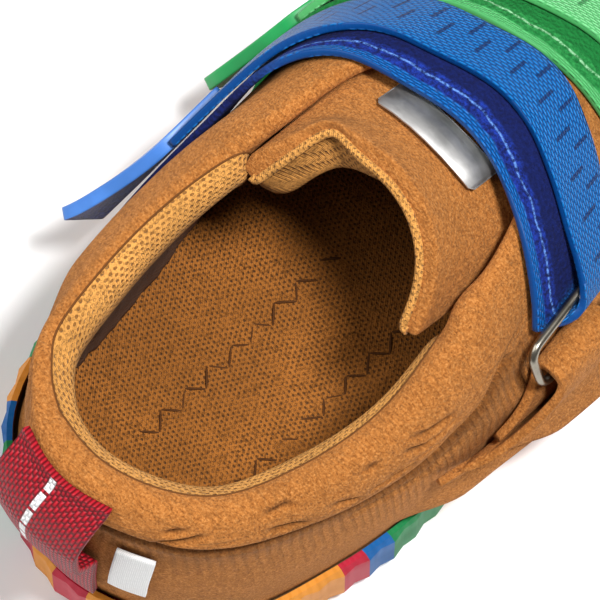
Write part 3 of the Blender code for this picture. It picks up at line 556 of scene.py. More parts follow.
upper_shape = merged_copy("upper")
upper_shape.normal_update()
for face in upper_shape.faces:
    middle = face.calc_center_median()
    core = Vector((2 * MM, min(max(middle.y, -40 * MM), 45 * MM), 25 * MM))
    tilt = math.degrees(math.atan2(face.normal.dot(to_spine(middle).normalized()), face.normal.z))
    turn = np.interp(middle.y / MM, *(LATERAL_TURN if middle.x < 0 else MEDIAL_TURN))
    over_rim = RIM_LOWEST < middle.z and middle.y < KNIT_FRONT and tilt > turn
    within = face.normal.dot(middle - core) <= 0 and (middle.y < KNIT_FRONT or middle.z < 42 * MM)
    face.material_index = 1 if over_rim or within else 0
upper = rounded_piece(upper_shape, "suede_upper", "upper", 2)
collar_shape = bmesh.new()
collar_shape.from_mesh(upper.data)
collar_edges = [e for e in collar_shape.edges
                if min(v.co.z for v in e.verts) > 30 * MM and max(v.co.y for v in e.verts) < 4 * MM]
bmesh.ops.subdivide_edges(collar_shape, edges=collar_edges, cuts=1, use_grid_fill=True)
roll_edges = [e for e in collar_shape.edges if min(v.co.z for v in e.verts) > 42 * MM
              and min(v.co.x for v in e.verts) > 12 * MM and max(v.co.y for v in e.verts) < -12 * MM
              and all(f.material_index == 0 for f in e.link_faces)]
bmesh.ops.subdivide_edges(collar_shape, edges=roll_edges, cuts=1, use_grid_fill=True)
collar_shape.to_mesh(upper.data)
collar_shape.free()
upper.data.shade_smooth()
upper.data.materials.append(SUEDE)
upper.data.materials.append(knit_finish("lining_knit", LINING_PITCH, LINING_KNIT, LINING_HOLLOW, 0.85,
                                        "wall", LINING_LOW_MESH_AND_SHADE))


def ease(value, low, high):
    """A soft step from 0 at low to 1 at high."""
    t = np.clip((value - low) / (high - low), 0, 1)
    return t * t * (3 - 2 * t)


def bell(value, width):
    """A hump of height 1 about 0."""
    return np.exp(-(value / width) ** 2)


def points_of(piece):
    """A piece's points and their normals."""
    mesh = piece.data
    points = np.zeros(len(mesh.vertices) * 3)
    mesh.vertices.foreach_get("co", points)
    normals = np.zeros(len(mesh.vertices) * 3)
    mesh.vertex_normals.foreach_get("vector", normals)
    return points.reshape(-1, 3), normals.reshape(-1, 3)


def move_points(piece, points):
    """Put a piece's points where they are given."""
    piece.data.vertices.foreach_set("co", points.ravel())
    piece.data.update()


def seam_path(piece, lowest):
    """Points round the line where outer and lining meet, in order."""
    shape = bmesh.new()
    shape.from_mesh(piece.data)
    beside = {}
    for edge in shape.edges:
        kinds = {f.material_index for f in edge.link_faces}
        if len(kinds) == 2 and min(v.co.z for v in edge.verts) > lowest:
            for vert in edge.verts:
                beside.setdefault(vert, []).append(edge.other_vert(vert))
    starts = [v for v in beside if len(beside[v]) == 1] + list(beside)
    longest = []
    seen = set()
    for start in starts:
        passed = [] if start in seen else [start]
        while passed:
            seen.add(passed[-1])
            ahead = [v for v in beside[passed[-1]] if v not in seen]
            if not ahead:
                break
            passed.append(ahead[0])
        longest = max(longest, passed, key=len)
    path = np.array([v.co for v in longest])
    shape.free()
    return path


def finder(path):
    """A search tree over the points of a path."""
    tree = kdtree.KDTree(len(path))
    for k, spot in enumerate(path):
        tree.insert(spot, k)
    tree.balance()
    return tree


def gap_from(points, path):
    """Distance of points from the nearest point of a close-set path."""
    tree = finder(path)
    return np.array([tree.find(p)[2] for p in points])


def ease_seam(piece, lowest, reach, rounds):
    """Draw the line where outer and lining meet into a smooth curve, with its surroundings."""
    path = seam_path(piece, lowest)
    eased = path.copy()
    for _ in range(rounds):
        eased[1:-1] = 0.25 * eased[:-2] + 0.5 * eased[1:-1] + 0.25 * eased[2:]
    tree = finder(path)
    points, _ = points_of(piece)
    for point in points:
        _, near, gap = tree.find(point)
        if gap < 3 * reach:
            point += (eased[near] - path[near]) * bell(gap, reach)
    move_points(piece, points)


def snapped(piece, path):
    """A path in millimetres laid on a piece's outer wall, with points every half millimetre."""
    spots = []
    for a, b in zip(path[:-1], path[1:]):
        count = max(2, int(2 * math.dist(a, b)))
        spots += [Vector(a).lerp(Vector(b), k / count) * MM for k in range(count)]
    laid = []
    for spot in spots:
        inward = to_spine(spot).normalized()
        hit, place, _, _ = piece.ray_cast(spot - inward * 25 * MM, inward)
        laid.append(np.array(place if hit else spot))
    return np.array(laid)


def press(piece, folds, free):
    """Press soft troughs into a piece along given paths, where it is free to give.

    A fold is (path, depth, half width), sizes in millimetres. Each trough is also kept as painted
    shade, the attribute that darkens the suede along it."""
    points, normals = points_of(piece)
    push = np.zeros(len(points))
    painted_shade = np.zeros(len(points))
    for path, depth, half_width in folds:
        near = np.all((points > path.min(axis=0) - 3 * half_width * MM)
                      & (points < path.max(axis=0) + 3 * half_width * MM), axis=1)
        far = gap_from(points[near], path) / MM
        ends = ease(np.minimum(gap_from(points[near], path[:1]), gap_from(points[near], path[-1:])) / MM, 0, 3)
        push[near] += depth * bell(far, half_width) * ends
        # Painted shade along the trough, darkest at its middle.
        shade = min(1.3 * depth, 1.0) * bell(far, 0.55 * half_width) * ends
        painted_shade[near] = np.maximum(painted_shade[near], shade)
    points -= normals * (push * free * MM)[:, None]
    keep_values(piece, "painted_shade", painted_shade * free)
    move_points(piece, points)


def keep_values(piece, name, values):
    """Store a value a point as an attribute of the mesh."""
    mesh = piece.data
    store = mesh.attributes.get(name) or mesh.attributes.new(name, "FLOAT", "POINT")
    store.data.foreach_set("value", values.astype(np.float32))


def values_of(piece, name):
    """An attribute's value at every point."""
    values = np.zeros(len(piece.data.vertices), np.float32)
    piece.data.attributes[name].data.foreach_get("value", values)
    return values


def outside(piece):
    """1 at points of the piece's outer faces, 0 on its lining."""
    mesh = piece.data
    mask = np.zeros(len(mesh.vertices))
    for face in mesh.polygons:
        if face.material_index == 0:
            mask[list(face.vertices)] = 1.0
    return mask


def waist_swell(points):
    """How far the soft medial side leans out over the sole's lip at the waist."""
    x, y, z = points.T / MM
    rise = bell(z - 19.5, 5.0) * ease(z, 16.2, 18.2) * ease(x, 16, 26)
    return WAIST_SWELL * rise * ease(y, -34, -22) * (1 - ease(y, 24, 40))


def down_the_wall(points, centres):
    """Rule that unrolls the lining: length round the foot, and the way in and down from the rim."""
    flat = round_the_foot(COLLAR_RADIUS)(points, centres)
    aside = points[:, 0] - SPINE_X
    flat[:, 1] += np.hypot(aside, points[:, 1] - np.clip(points[:, 1], SPINE_REAR, SPINE_FRONT))
    return flat


ROLL_FULL = 1.1 * MM
ROLL_IN = 0.8 * MM
PAD_IN = 2.2 * MM
HEEL_TUCK = 2.2 * MM
WALL_FALL = 2.3 * MM
BELLY_LEVEL = 46 * MM
WAIST_SWELL = 3.0 * MM
PINCH_DEPTH, PINCH_WIDTH = 2.0, 1.2
SEAM_DEPTH, SEAM_WIDTH = 0.6, 0.6
WRINKLE_DEPTH, WRINKLE_WIDTH = 0.85, 0.6
ease_seam(upper, RIM_LOWEST, reach=2.5 * MM, rounds=120)
bpy.context.view_layer.update()
COLLAR_PINCH = snapped(upper, (
    (-26, -9, 47), (-27, -18, 44), (-27, -30, 42.5), (-24.5, -45, 44), (-18, -57.5, 46.5), (-9, -65, 48),
    (0, -67, 48.5), (9.7, -64.6, 48.7), (13, -63.1, 48.4), (16.7, -60.5, 48.4), (19.5, -57.2, 48.2),
    (22.1, -53.3, 47.4), (24.1, -48.6, 46.2), (25.7, -43.9, 44.6), (27.1, -38.6, 42.8), (28, -35.1, 41.8),
    (28.5, -32, 41.4), (28.8, -29, 41.4), (29.3, -25, 41.8), (29.2, -20.7, 43.4), (28.5, -16.7, 46),
    (27.4, -12.7, 49), (26.1, -8.5, 50.6)))
LOWER_SEAM = snapped(upper, (
    (27, -41, 40), (28.5, -34, 38.5), (29.2, -28, 38.0), (29.6, -22, 39.5), (29.4, -17, 42)))
WRINKLES = (
    ((11.6, -63.3, 50), (15.4, -59.1, 52), (17.2, -55.9, 53.4)),
    ((11.3, -62, 52.2), (14.8, -56.8, 54)),
    ((18.9, -50.9, 53), (19.9, -46.6, 52.8), (20, -44, 52)),
    ((23, -37, 52.2), (24.9, -34.5, 51.5), (26.2, -34.4, 49.5)),
    ((25, -28.9, 52.5), (26.3, -26.4, 51.2), (27, -23.3, 50.8), (27.2, -20, 50.5)),
    ((25.6, -31.4, 51.4), (27.6, -27.6, 49.4), (28.5, -23.7, 48.6), (28.4, -19.5, 48.8)),
    ((26.9, -35.1, 48.5), (28.6, -28.5, 47), (29.1, -23.2, 45.2)),
    ((26.5, -37.9, 48), (28.1, -32.7, 46.6), (28.7, -27.7, 45.2)),
    ((24, -43, 50), (25.5, -40, 48.2), (26.8, -37, 46)),
    ((21, -52, 51), (23, -48, 49.6), (24.6, -44.5, 47.6)),
)
upper_points, upper_normals = points_of(upper)
aside, along, high = upper_points.T
from_seam = gap_from(upper_points, seam_path(upper, RIM_LOWEST))
suede_side = outside(upper)
collar = 1 - ease(along, -10 * MM, 4 * MM)
level_in = np.array([to_spine(Vector(p)).normalized() for p in upper_points])
roll = ROLL_FULL * (1 - bell(from_seam, 2.0 * MM)) * bell(from_seam - 4.5 * MM, 4.0 * MM)
drawn = ROLL_IN * bell(from_seam, 2.4 * MM)
puffed = PAD_IN * (1 - bell(from_seam, 1.7 * MM)) * bell(from_seam, 9.0 * MM)
lateral = ease(-aside, 6 * MM, 14 * MM)
swell = np.where(suede_side > 0, roll * (1 - lateral), puffed * (1 + 0.35 * lateral))
upper_points += upper_normals * (collar * swell)[:, None]
upper_points += level_in * (collar * drawn * (1 - 0.7 * lateral))[:, None]
upper_points -= level_in * (suede_side * waist_swell(upper_points))[:, None]
tuck = ease(-aside, 9 * MM, 17 * MM) * (1 - ease(along, -56 * MM, -43 * MM))
tuck *= suede_side * ease(high, 13 * MM, 20 * MM) * ease(from_seam, 1.5 * MM, 6 * MM)
upper_points += level_in * (HEEL_TUCK * tuck)[:, None]
from_spine = np.hypot(aside - SPINE_X, along - np.clip(along, SPINE_REAR, SPINE_FRONT))
belly = np.nonzero((suede_side == 0) & (np.abs(high - 46.5 * MM) < 3 * MM) & (collar > 0.3))[0]
padded_wall = np.nonzero((suede_side == 0) & (high < BELLY_LEVEL) & (lateral * collar > 0))[0]
for k in padded_wall:
    beside = belly[np.argmin(np.linalg.norm(upper_points[belly, :2] - upper_points[k, :2], axis=1))]
    depth = BELLY_LEVEL - high[k]
    spare = from_spine[k] - from_spine[beside] - WALL_FALL * ease(depth, 4 * MM, 28 * MM)
    shared = lateral[k] * (1 - ease(along[k], -32 * MM, -6 * MM)) * ease(high[k], 14.2 * MM, 18 * MM)
    upper_points[k] += level_in[k] * max(spare, 0) * shared * ease(depth, 0, 5 * MM)
move_points(upper, upper_points)
bpy.context.view_layer.update()
pinch_path = snapped(upper, [tuple(p / MM) for p in COLLAR_PINCH[::8]])
UPPER_FOLDS = [(pinch_path, PINCH_DEPTH, PINCH_WIDTH), (LOWER_SEAM, SEAM_DEPTH, SEAM_WIDTH)]
UPPER_FOLDS += [(snapped(upper, fold), WRINKLE_DEPTH, WRINKLE_WIDTH) for fold in WRINKLES]
press(upper, UPPER_FOLDS, suede_side)
pinch_gap = gap_from(upper_points, COLLAR_PINCH)
beside = [np.argmin(np.linalg.norm(COLLAR_PINCH[:, :2] - p[:2], axis=1)) for p in upper_points]
pinch_height = COLLAR_PINCH[beside, 2]
below_pinch = suede_side * collar * (high < pinch_height - 0.8 * MM)
above_pinch = suede_side * collar * (high > pinch_height + 0.4 * MM)
keep_values(upper, "ribs", below_pinch * bell(pinch_gap - 4 * MM, 8 * MM))
# Painted shadow: the collar roll's shadow on the panel just below the pinch, added to the painted shade.
painted_roll_shadow = below_pinch * bell(pinch_gap, 2.4 * MM)
keep_values(upper, "painted_shade", np.maximum(values_of(upper, "painted_shade"), 0.9 * painted_roll_shadow))
keep_values(upper, "arcs", above_pinch * bell(pinch_gap, 5 * MM))
set_uv(upper, "round", round_the_foot(COLLAR_RADIUS))
set_uv(upper, "wall", down_the_wall)
seam_thread = thread_finish("seam_thread", SEAM_BROWN)
seam_line = seam_path(upper, RIM_LOWEST)
at_rim = seam_line[:, 1] < KNIT_FRONT + 2 * MM
begin = np.nonzero(~at_rim)[0].max() + 1
seam_line = np.roll(seam_line, -begin, axis=0)[np.roll(at_rim, -begin)]
add_threads("collar_seam", [[Vector(p) for p in seam_line]], SEAM_RADIUS, seam_thread)

# Tongue: a padded suede tongue lined with the same knit, its top rolled over into a pale
# knit rim; two lobes reach back along the ankle inside the collar.
# The tongue's lining is the same knit as the collar lining and piping, painted darker here as shade.
TONGUE_KNIT_SHADED = (0.56, 0.25, 0.060, 1.0)
ARCH_X = 1 * MM
ARCH_Z = 44 * MM
TONGUE_LOWEST = 36 * MM
tongue_shape = merged_copy("tongue")
tongue_shape.normal_update()
for face in tongue_shape.faces:
    middle = face.calc_center_median()
    core = Vector((ARCH_X, middle.y, ARCH_Z))
    at_rim = face.normal.y < -0.5 and face.normal.z > 0.1
    face.material_index = 0 if face.normal.dot(middle - core) > 0 or at_rim else 1
tongue = rounded_piece(tongue_shape, "padded_tongue", "tongue", 3, 0.8, 0.35)
tongue.data.materials.append(SUEDE)
tongue.data.materials.append(knit_finish("tongue_knit_shaded", LINING_PITCH, TONGUE_KNIT_SHADED, LINING_HOLLOW, 0.9, "arch"))


def over_the_arch(points, centres):
    """Rule that unrolls the tongue about its own arch."""
    turn = np.arctan2(points[:, 0] - ARCH_X, points[:, 2] - 46 * MM)
    return np.stack([16 * MM * turn, points[:, 1] + points[:, 2]], axis=1)


TONGUE_PAD = 4.6 * MM
PIPING = 0.7 * MM
RIM_CORNER = (-9.9 * MM, -10.2 * MM)
CORNER_PUSH = (-1.0 * MM, 2.8 * MM, 0.3 * MM)
LAID_GAP = 0.4 * MM
LAY_ROUNDS = 30
tongue_points, tongue_normals = points_of(tongue)
rim = seam_path(tongue, TONGUE_LOWEST)
from_edge = gap_from(tongue_points, rim)
padding = TONGUE_PAD * (1 - bell(from_edge, 2.0 * MM)) * bell(from_edge, 9.0 * MM)
lateral = 0.08 + 0.92 * (1 - ease(tongue_points[:, 0], -9 * MM, 7 * MM))
tongue_points += tongue_normals * ((1 - outside(tongue)) * lateral * padding)[:, None]
corner = rim[np.argmin(np.linalg.norm(rim[:, :2] - np.array(RIM_CORNER), axis=1))]
squared = bell(np.linalg.norm(tongue_points - corner, axis=1), 4.5 * MM)
tongue_points += squared[:, None] * np.array(CORNER_PUSH)
bpy.context.view_layer.update()
facing_collar = (tongue_points[:, 0] < -7 * MM) & (tongue_normals[:, 0] < -0.15)
beside_collar = np.nonzero((outside(tongue) > 0) & facing_collar)[0]
laid = np.zeros(len(tongue_points))
for k in beside_collar:
    hit, spot, _, _ = upper.ray_cast(Vector(tongue_points[k]), Vector((-1, 0, 0)), distance=5 * MM)
    gap = tongue_points[k, 0] - spot.x - LAID_GAP if hit else 0
    laid[k] = max(gap, 0) * ease(-tongue_normals[k, 0], 0.15, 0.5)
ties = np.zeros(len(tongue.data.edges) * 2, int)
tongue.data.edges.foreach_get("vertices", ties)
ties = np.concatenate([ties.reshape(-1, 2), ties.reshape(-1, 2)[:, ::-1]])
shares = np.bincount(ties[:, 0], minlength=len(laid))
for _ in range(LAY_ROUNDS):
    laid = 0.5 * laid + 0.5 * np.bincount(ties[:, 0], laid[ties[:, 1]], len(laid)) / shares
tongue_points[:, 0] -= laid
move_points(tongue, tongue_points)
set_uv(tongue, "arch", over_the_arch)
tongue_edge = seam_path(tongue, TONGUE_LOWEST)
lobe_ends = [np.argmin(np.where(side * tongue_edge[:, 0] > 0, tongue_edge[:, 1], 1.0)) for side in (-1, 1)]
tongue_edge = tongue_edge[min(lobe_ends):max(lobe_ends) + 1]
from_arch = tongue_edge - np.array((ARCH_X, 0, ARCH_Z))
from_arch[:, 1] = 0
tongue_edge += 0.4 * MM * from_arch / np.linalg.norm(from_arch, axis=1)[:, None]
piping = add_threads("tongue_piping", [[Vector(p) for p in tongue_edge]], PIPING,
                     knit_finish("piping_knit", 0.8 * MM, LINING_KNIT, LINING_HOLLOW, 0.5))

# Badge: a small bare plate of brushed metal with chamfered edges, clipped through the
# tongue's suede just behind the top strap.
PLATE_STEEL = (0.56, 0.55, 0.54, 1.0)
PLATE_CHAMFER = 0.7 * MM


def brushed_finish(name, colour, roughness, stretch):
    """Metal drawn with fine parallel scratches and a thin darker tarnish."""
    material, tree, shader = finish_of(name, roughness, Metallic=1.0)
    place = on_object(tree)
    drawn = add_node(tree, "Mapping", Vector=place, Scale=stretch)
    scratches = noise(tree, drawn.outputs["Vector"], 60.0, 5.0, Roughness=0.7)
    tarnish = stepped(tree, noise(tree, place, 240.0, 4.0), 0.32, 0.6)
    paint(tree, shader, mixed(tree, tarnish, dimmed(colour, 0.7), colour))
    roughen(tree, shader, scratches, roughness - 0.1, roughness + 0.2)
    emboss(tree, shader, scratches, 0.35, 0.05 * MM)
    return material


badge_shape = merged_copy("badge")
badge_edges = [e for e in badge_shape.edges if len(e.link_faces) == 2 and e.calc_face_angle() > 0.9]
bmesh.ops.bevel(badge_shape, geom=badge_edges, offset=PLATE_CHAMFER, affect="EDGES", segments=1, profile=0.5,
                material=-1)
badge = piece_from(badge_shape, "bare_plate", "badge")
badge.data.shade_smooth()
badge.data.set_sharp_from_angle(angle=0.45)
badge.data.materials.append(brushed_finish("brushed_plate", PLATE_STEEL, 0.52, (1.0, 40.0, 40.0)))

# Straps: woven webbing sewn low on the lateral side. The lower layer carries loop pile
# with a woven selvedge; the upper layer comes back from the ring with its satin face out.
STRIP_START = Vector((0.0, -0.5, -0.85))
BAR_SPACE = 2.8 * MM


def lay_strip(shape, facing):
    """Unroll a strip from the end that faces a direction: width from the rear edge, length along.

    The share of the way, 0 at that end and 1 at the other, is kept as the attribute layer."""
    share = shape.verts.layers.float.new("layer")
    layer = shape.loops.layers.uv.new("strip")
    shape.normal_update()
    reach = max(v.co.dot(facing) for v in shape.verts)
    ends = {v for f in shape.faces for v in f.verts
            if f.normal.dot(facing) > 0.7 and f.calc_center_median().dot(facing) > reach - 9 * MM}
    row_of = {v: 0 for v in ends}
    queue = list(ends)
    for vert in queue:
        for edge in vert.link_edges:
            other = edge.other_vert(vert)
            if other not in row_of:
                row_of[other] = row_of[vert] + 1
                queue.append(other)
    rows = [[] for _ in range(max(row_of.values()) + 1)]
    for vert, row in row_of.items():
        rows[row].append(vert)
    spot = {}
    length = 0.0
    before = None
    wide = np.array((0.0, 1.0, 0.0))
    for number, row in enumerate(rows):
        points = np.array([v.co for v in row])
        centre = points.mean(axis=0)
        axis = np.linalg.svd(points - centre)[2][0]
        wide = axis if axis @ wide > 0 else -axis
        length += 0.0 if before is None else np.linalg.norm(centre - before)
        before = centre
        across = (points - centre) @ wide
        for vert, place in zip(row, across - across.min()):
            spot[vert] = (place, length)
            vert[share] = number / (len(rows) - 1)
    for face in shape.faces:
        for loop in face.loops:
            loop[layer].uv = spot[loop.vert]


def webbing_group():
    """Woven tape: lengthwise cords crossed by picks, as a height and as a light and dark tone."""
    group, given, result = new_group("webbing", ("Cord", "Pick"), ("Height", "Tone"))
    wander = noise(group, given["Place"], 700.0, 2.0)
    split = add_node(group, "SeparateXYZ", Vector=given["Place"])
    across = maths(group, "DIVIDE", split.outputs["X"], given["Cord"])
    along = maths(group, "DIVIDE", split.outputs["Y"], given["Pick"])
    along = maths(group, "MULTIPLY_ADD", wander, 0.6, along)
    cord = maths(group, "FLOOR", across)
    odd = maths(group, "MODULO", maths(group, "ABSOLUTE", cord), 2.0)
    along = maths(group, "MULTIPLY_ADD", odd, 0.5, along)
    dx = maths(group, "SUBTRACT", maths(group, "SUBTRACT", across, cord), 0.5)
    dy = maths(group, "SUBTRACT", maths(group, "FRACT", along), 0.5)
    round_x = maths(group, "MULTIPLY_ADD", maths(group, "MULTIPLY", dx, dx), -4.0, 1.0)
    round_y = maths(group, "MULTIPLY_ADD", maths(group, "MULTIPLY", dy, dy), -4.0, 1.0)
    height = maths(group, "MULTIPLY", round_x, round_y)
    fibre = noise(group, given["Place"], 3000.0, 2.0)
    tone = maths(group, "MULTIPLY_ADD", fibre, 0.5, maths(group, "MULTIPLY", height, 0.7))
    group.links.new(height, result["Height"])
    group.links.new(tone, result["Tone"])
    return group


WEBBING = webbing_group()


def band(tree, value, low, high, soft):
    """1 between two limits, with soft edges."""
    above = stepped(tree, value, low - soft, low + soft)
    return maths(tree, "MULTIPLY", above, stepped(tree, value, high + soft, high - soft))


def strap_finish(name, satin, shade, selvedge, pile, pile_dark, gleam):
    """Webbing over loop pile, laid out from the strap's own width, length and layer."""
    material, tree, shader = finish_of(name, 0.6, Specular_IOR_Level=0.25)
    unrolled = on_map(tree, "strip")
    place = on_object(tree)
    split = add_node(tree, "SeparateXYZ", Vector=unrolled)
    wide, long = split.outputs["X"], split.outputs["Y"]
    weave = add_node(tree, "Group", {"node_tree": WEBBING}, Place=unrolled, Cord=0.42 * MM, Pick=1.3 * MM)
    tone = stepped(tree, weave.outputs["Tone"], 0.2, 0.95)
    web = mixed(tree, tone, shade, satin)
    turn = maths(tree, "DIVIDE", long, BAR_SPACE)
    block = maths(tree, "FLOOR", turn)
    within = maths(tree, "MULTIPLY", maths(tree, "SUBTRACT", turn, block), BAR_SPACE)
    bars = band(tree, within, 1.1 * MM, 1.65 * MM, 0.08 * MM)
    start = maths(tree, "MULTIPLY_ADD", maths(tree, "MODULO", block, 2.0), 2.4 * MM, 3.0 * MM)
    inside = band(tree, maths(tree, "SUBTRACT", wide, start), 0.0, 3.0 * MM, 0.12 * MM)
    bars = maths(tree, "MULTIPLY", bars, inside)
    web = mixed(tree, maths(tree, "MULTIPLY", bars, 0.75), web, pile_dark)
    fuzz = noise(tree, place, 1500.0, 5.0, Roughness=0.75)
    loops = add_node(tree, "TexVoronoi", Vector=place, Scale=1500.0)
    nap = mixed(tree, stepped(tree, fuzz, 0.35, 0.7), pile_dark, pile)
    wobble = maths(tree, "MULTIPLY_ADD", noise(tree, place, 220.0, 2.0), 1.6 * MM, -0.8 * MM)
    edge = maths(tree, "ADD", wide, wobble)
    layer = kept_value(tree, "layer")
    lateral = stepped(tree, layer, 0.24, 0.19)
    # Painted shade: the pile more than 4 mm from the lower layer's edge, under the upper layer, darkens
    # towards pile_dark; the lateral end darkens the same way.
    painted_pile_shade = maths(tree, "MAXIMUM", stepped(tree, edge, 4.0 * MM, 4.6 * MM), lateral)
    pile_edge = maths(tree, "MAXIMUM", stepped(tree, edge, 1.3 * MM, 1.7 * MM), lateral)
    nap = mixed(tree, maths(tree, "MULTIPLY", painted_pile_shade, 0.85), nap, pile_dark)
    line = band(tree, edge, 3.0 * MM, 3.35 * MM, 0.12 * MM)
    line = maths(tree, "MULTIPLY", line, stepped(tree, fuzz, 0.38, 0.6))
    nap = mixed(tree, maths(tree, "MULTIPLY", line, 0.8), nap, gleam)
    lower = mixed(tree, pile_edge, mixed(tree, tone, shade, selvedge), nap)
    above = stepped(tree, layer, 0.46, 0.50)
    paint(tree, shader, mixed(tree, above, lower, web))
    piled = maths(tree, "MULTIPLY", pile_edge, maths(tree, "SUBTRACT", 1.0, above))
    roughen(tree, shader, piled, 0.42, 0.95)
    pile_height = maths(tree, "MULTIPLY", fuzz, 1.6)
    pile_height = maths(tree, "MULTIPLY_ADD", loops.outputs["Distance"], 1.4, pile_height)
    web_height = maths(tree, "MULTIPLY_ADD", bars, 0.5, weave.outputs["Height"])
    chosen = add_node(tree, "Mix", {"data_type": "FLOAT"})
    for number, value in ((0, piled), (2, web_height), (3, pile_height)):
        tree.links.new(value, chosen.inputs[number])
    emboss(tree, shader, chosen.outputs[0], 0.9, 0.3 * MM)
    return material


STRAP_FINISHES = {
    "top": strap_finish(
        "blue_webbing", satin=(0.004, 0.165, 0.50, 1.0), shade=(0.001, 0.045, 0.19, 1.0),
        selvedge=(0.003, 0.125, 0.44, 1.0), pile=(0.010, 0.040, 0.36, 1.0),
        pile_dark=(0.002, 0.006, 0.060, 1.0), gleam=(0.16, 0.36, 0.85, 1.0)),
    "front": strap_finish(
        "green_webbing", satin=(0.20, 0.66, 0.27, 1.0), shade=(0.07, 0.36, 0.11, 1.0),
        selvedge=(0.10, 0.50, 0.16, 1.0), pile=(0.03, 0.30, 0.07, 1.0),
        pile_dark=(0.006, 0.16, 0.03, 1.0), gleam=(0.45, 0.85, 0.50, 1.0)),
}
for side in ("top", "front"):
    strap_shape = merged_copy("strap_" + side)
    lay_strip(strap_shape, STRIP_START)
    strap = rounded_piece(strap_shape, "webbing_" + side, "strap_" + side, 2, 0.9, 0.85)
    strap.data.materials.append(STRAP_FINISHES[side])

# Tabs: moulded rubbery plastic grips welded over the straps' free ends, with a strip of
# hook pile on the side that presses against the shoe.
def moulded_finish(name, colour):
    """Smooth moulded plastic with a faint orange peel and handling marks."""
    material, tree, shader = finish_of(name, 0.42, Coat_Weight=0.15, Coat_Roughness=0.35)
    place = on_object(tree)
    marks = noise(tree, place, 160.0, 4.0)
    tint = mixed(tree, stepped(tree, marks, 0.35, 0.7), dimmed(colour, 0.8), colour)
    paint(tree, shader, tint)
    roughen(tree, shader, marks, 0.35, 0.55)
    emboss(tree, shader, noise(tree, place, 900.0, 2.0), 0.25, 0.08 * MM)
    return material


def pile_finish(name, bright, dark):
    """Short fuzzy pile."""
    material, tree, shader = finish_of(name, 0.95, Sheen_Weight=0.4)
    fuzz = noise(tree, on_object(tree), 1500.0, 5.0, Roughness=0.75)
    paint(tree, shader, mixed(tree, stepped(tree, fuzz, 0.38, 0.7), dark, bright))
    emboss(tree, shader, fuzz, 1.0, 0.5 * MM)
    return material


TAB_FINISHES = {
    "top": (moulded_finish("blue_grip", (0.055, 0.20, 0.60, 1.0)),
            pile_finish("navy_pile", (0.010, 0.040, 0.30, 1.0), (0.002, 0.006, 0.060, 1.0))),
    "front": (moulded_finish("green_grip", (0.004, 0.32, 0.075, 1.0)),
              pile_finish("green_pile", (0.03, 0.30, 0.07, 1.0), (0.006, 0.13, 0.03, 1.0))),
}
for side in ("top", "front"):
    tab_shape = merged_copy("strap_" + side + "_tab")
    tab_shape.normal_update()
    for face in tab_shape.faces:
        face.material_index = 1 if face.normal.x > 0.55 else 0
    tab = rounded_piece(tab_shape, "grip_" + side, "strap_" + side + "_tab", 3, 0.9, 0.75)
    for finish in TAB_FINISHES[side]:
        tab.data.materials.append(finish)

# Rings: antique-nickel wire bent to a rounded oblong; the strap turns round one long side
# and a suede keeper round the other.
NICKEL = brushed_finish("antique_nickel", (0.30, 0.27, 0.22, 1.0), 0.26, (1.0, 1.0, 1.0))
for side in ("top", "front"):
    ring = rounded_piece(merged_copy("ring_" + side), "wire_ring_" + side, "ring_" + side, 2)
    ring.data.materials.append(NICKEL)

# Keepers: suede strips folded round the rings, spread out below and sewn flat to the
# quarter. They bend over the collar's lower roll and swell with the waist under them.
ROLL_LEVEL = 38.5 * MM
ROLL_BEND = 0.8 * MM
for side in ("top", "front"):
    node = "keeper_" + side
    keeper = rounded_piece(merged_copy(node), "suede_" + node, node, 2, 0.9, 0.55)
    keeper_points, _ = points_of(keeper)
    from_top = keeper_points[:, 2].max() - keeper_points[:, 2]
    pressed = ease(from_top, 7 * MM, 14 * MM)
    over_roll = bell(keeper_points[:, 2] - ROLL_LEVEL, 4 * MM)
    keeper_points[:, 0] += waist_swell(keeper_points) - 0.1 * MM * pressed + ROLL_BEND * over_roll
    move_points(keeper, keeper_points)
    keeper.data.materials.append(SUEDE)

# Pull loop: red basket-weave tape sewn to the collar and the heel, standing off between,
# with a broken reflective line woven down its middle.
TAPE_RED = (0.42, 0.002, 0.014, 1.0)
TAPE_DEEP = (0.09, 0.0, 0.003, 1.0)
DASH_PALE = (0.86, 0.86, 0.86, 1.0)
LOOP_START = Vector((0.0, 0.75, 0.66))
TOP_LIFT = np.array((0.0, -0.5 * MM, 0.8 * MM))


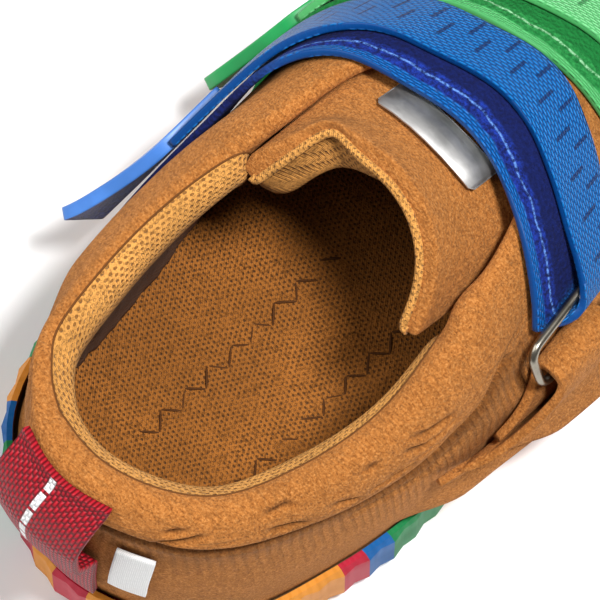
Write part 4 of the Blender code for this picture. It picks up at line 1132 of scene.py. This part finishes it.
def loop_finish():
    """Tape with two tones of red in its weave and pale dashes down the middle."""
    material, tree, shader = finish_of("red_tape", 0.5, Specular_IOR_Level=0.4)
    unrolled = on_map(tree, "strip")
    split = add_node(tree, "SeparateXYZ", Vector=unrolled)
    weave = add_node(tree, "Group", {"node_tree": WEBBING}, Place=unrolled, Cord=0.62 * MM, Pick=1.15 * MM)
    red = mixed(tree, stepped(tree, weave.outputs["Tone"], 0.15, 0.9), TAPE_DEEP, TAPE_RED)
    dash = band(tree, maths(tree, "PINGPONG", split.outputs["Y"], 1.7 * MM), 0.28 * MM, 3.0 * MM, 0.06 * MM)
    dash = maths(tree, "MULTIPLY", dash, band(tree, split.outputs["X"], 7.6 * MM, 8.7 * MM, 0.08 * MM))
    paint(tree, shader, mixed(tree, dash, red, DASH_PALE))
    roughen(tree, shader, dash, 0.6, 0.3)
    emboss(tree, shader, weave.outputs["Height"], 0.9, 0.35 * MM)
    return material


loop_shape = merged_copy("pull_loop")
lay_strip(loop_shape, LOOP_START)
pull_loop = rounded_piece(loop_shape, "red_pull_loop", "pull_loop", 2, 0.9, 0.85)
loop_points, _ = points_of(pull_loop)
sewn_top = ease(loop_points[:, 2], 49 * MM, 52 * MM)
loop_points += sewn_top[:, None] * TOP_LIFT
move_points(pull_loop, loop_points)
pull_loop.data.materials.append(loop_finish())

# Heel label: a bare label of white woven satin, folded double and sewn to the heel
# beside the pull loop.
LABEL_WHITE = (0.86, 0.86, 0.85, 1.0)
LABEL_SHADE = (0.55, 0.55, 0.54, 1.0)


def label_finish():
    """Fine satin weave, upright."""
    material, tree, shader = finish_of("white_satin", 0.55, Sheen_Weight=0.2)
    turned = add_node(tree, "SeparateXYZ", Vector=on_object(tree)).outputs
    upright = add_node(tree, "CombineXYZ", X=turned["X"], Y=turned["Z"]).outputs["Vector"]
    weave = add_node(tree, "Group", {"node_tree": WEBBING}, Place=upright, Cord=0.25 * MM, Pick=0.5 * MM)
    paint(tree, shader, mixed(tree, weave.outputs["Tone"], LABEL_SHADE, LABEL_WHITE))
    emboss(tree, shader, weave.outputs["Height"], 0.6, 0.12 * MM)
    return material


label = rounded_piece(merged_copy("heel_label"), "bare_label", "heel_label", 2, 0.9, 0.85)
label.data.materials.append(label_finish())
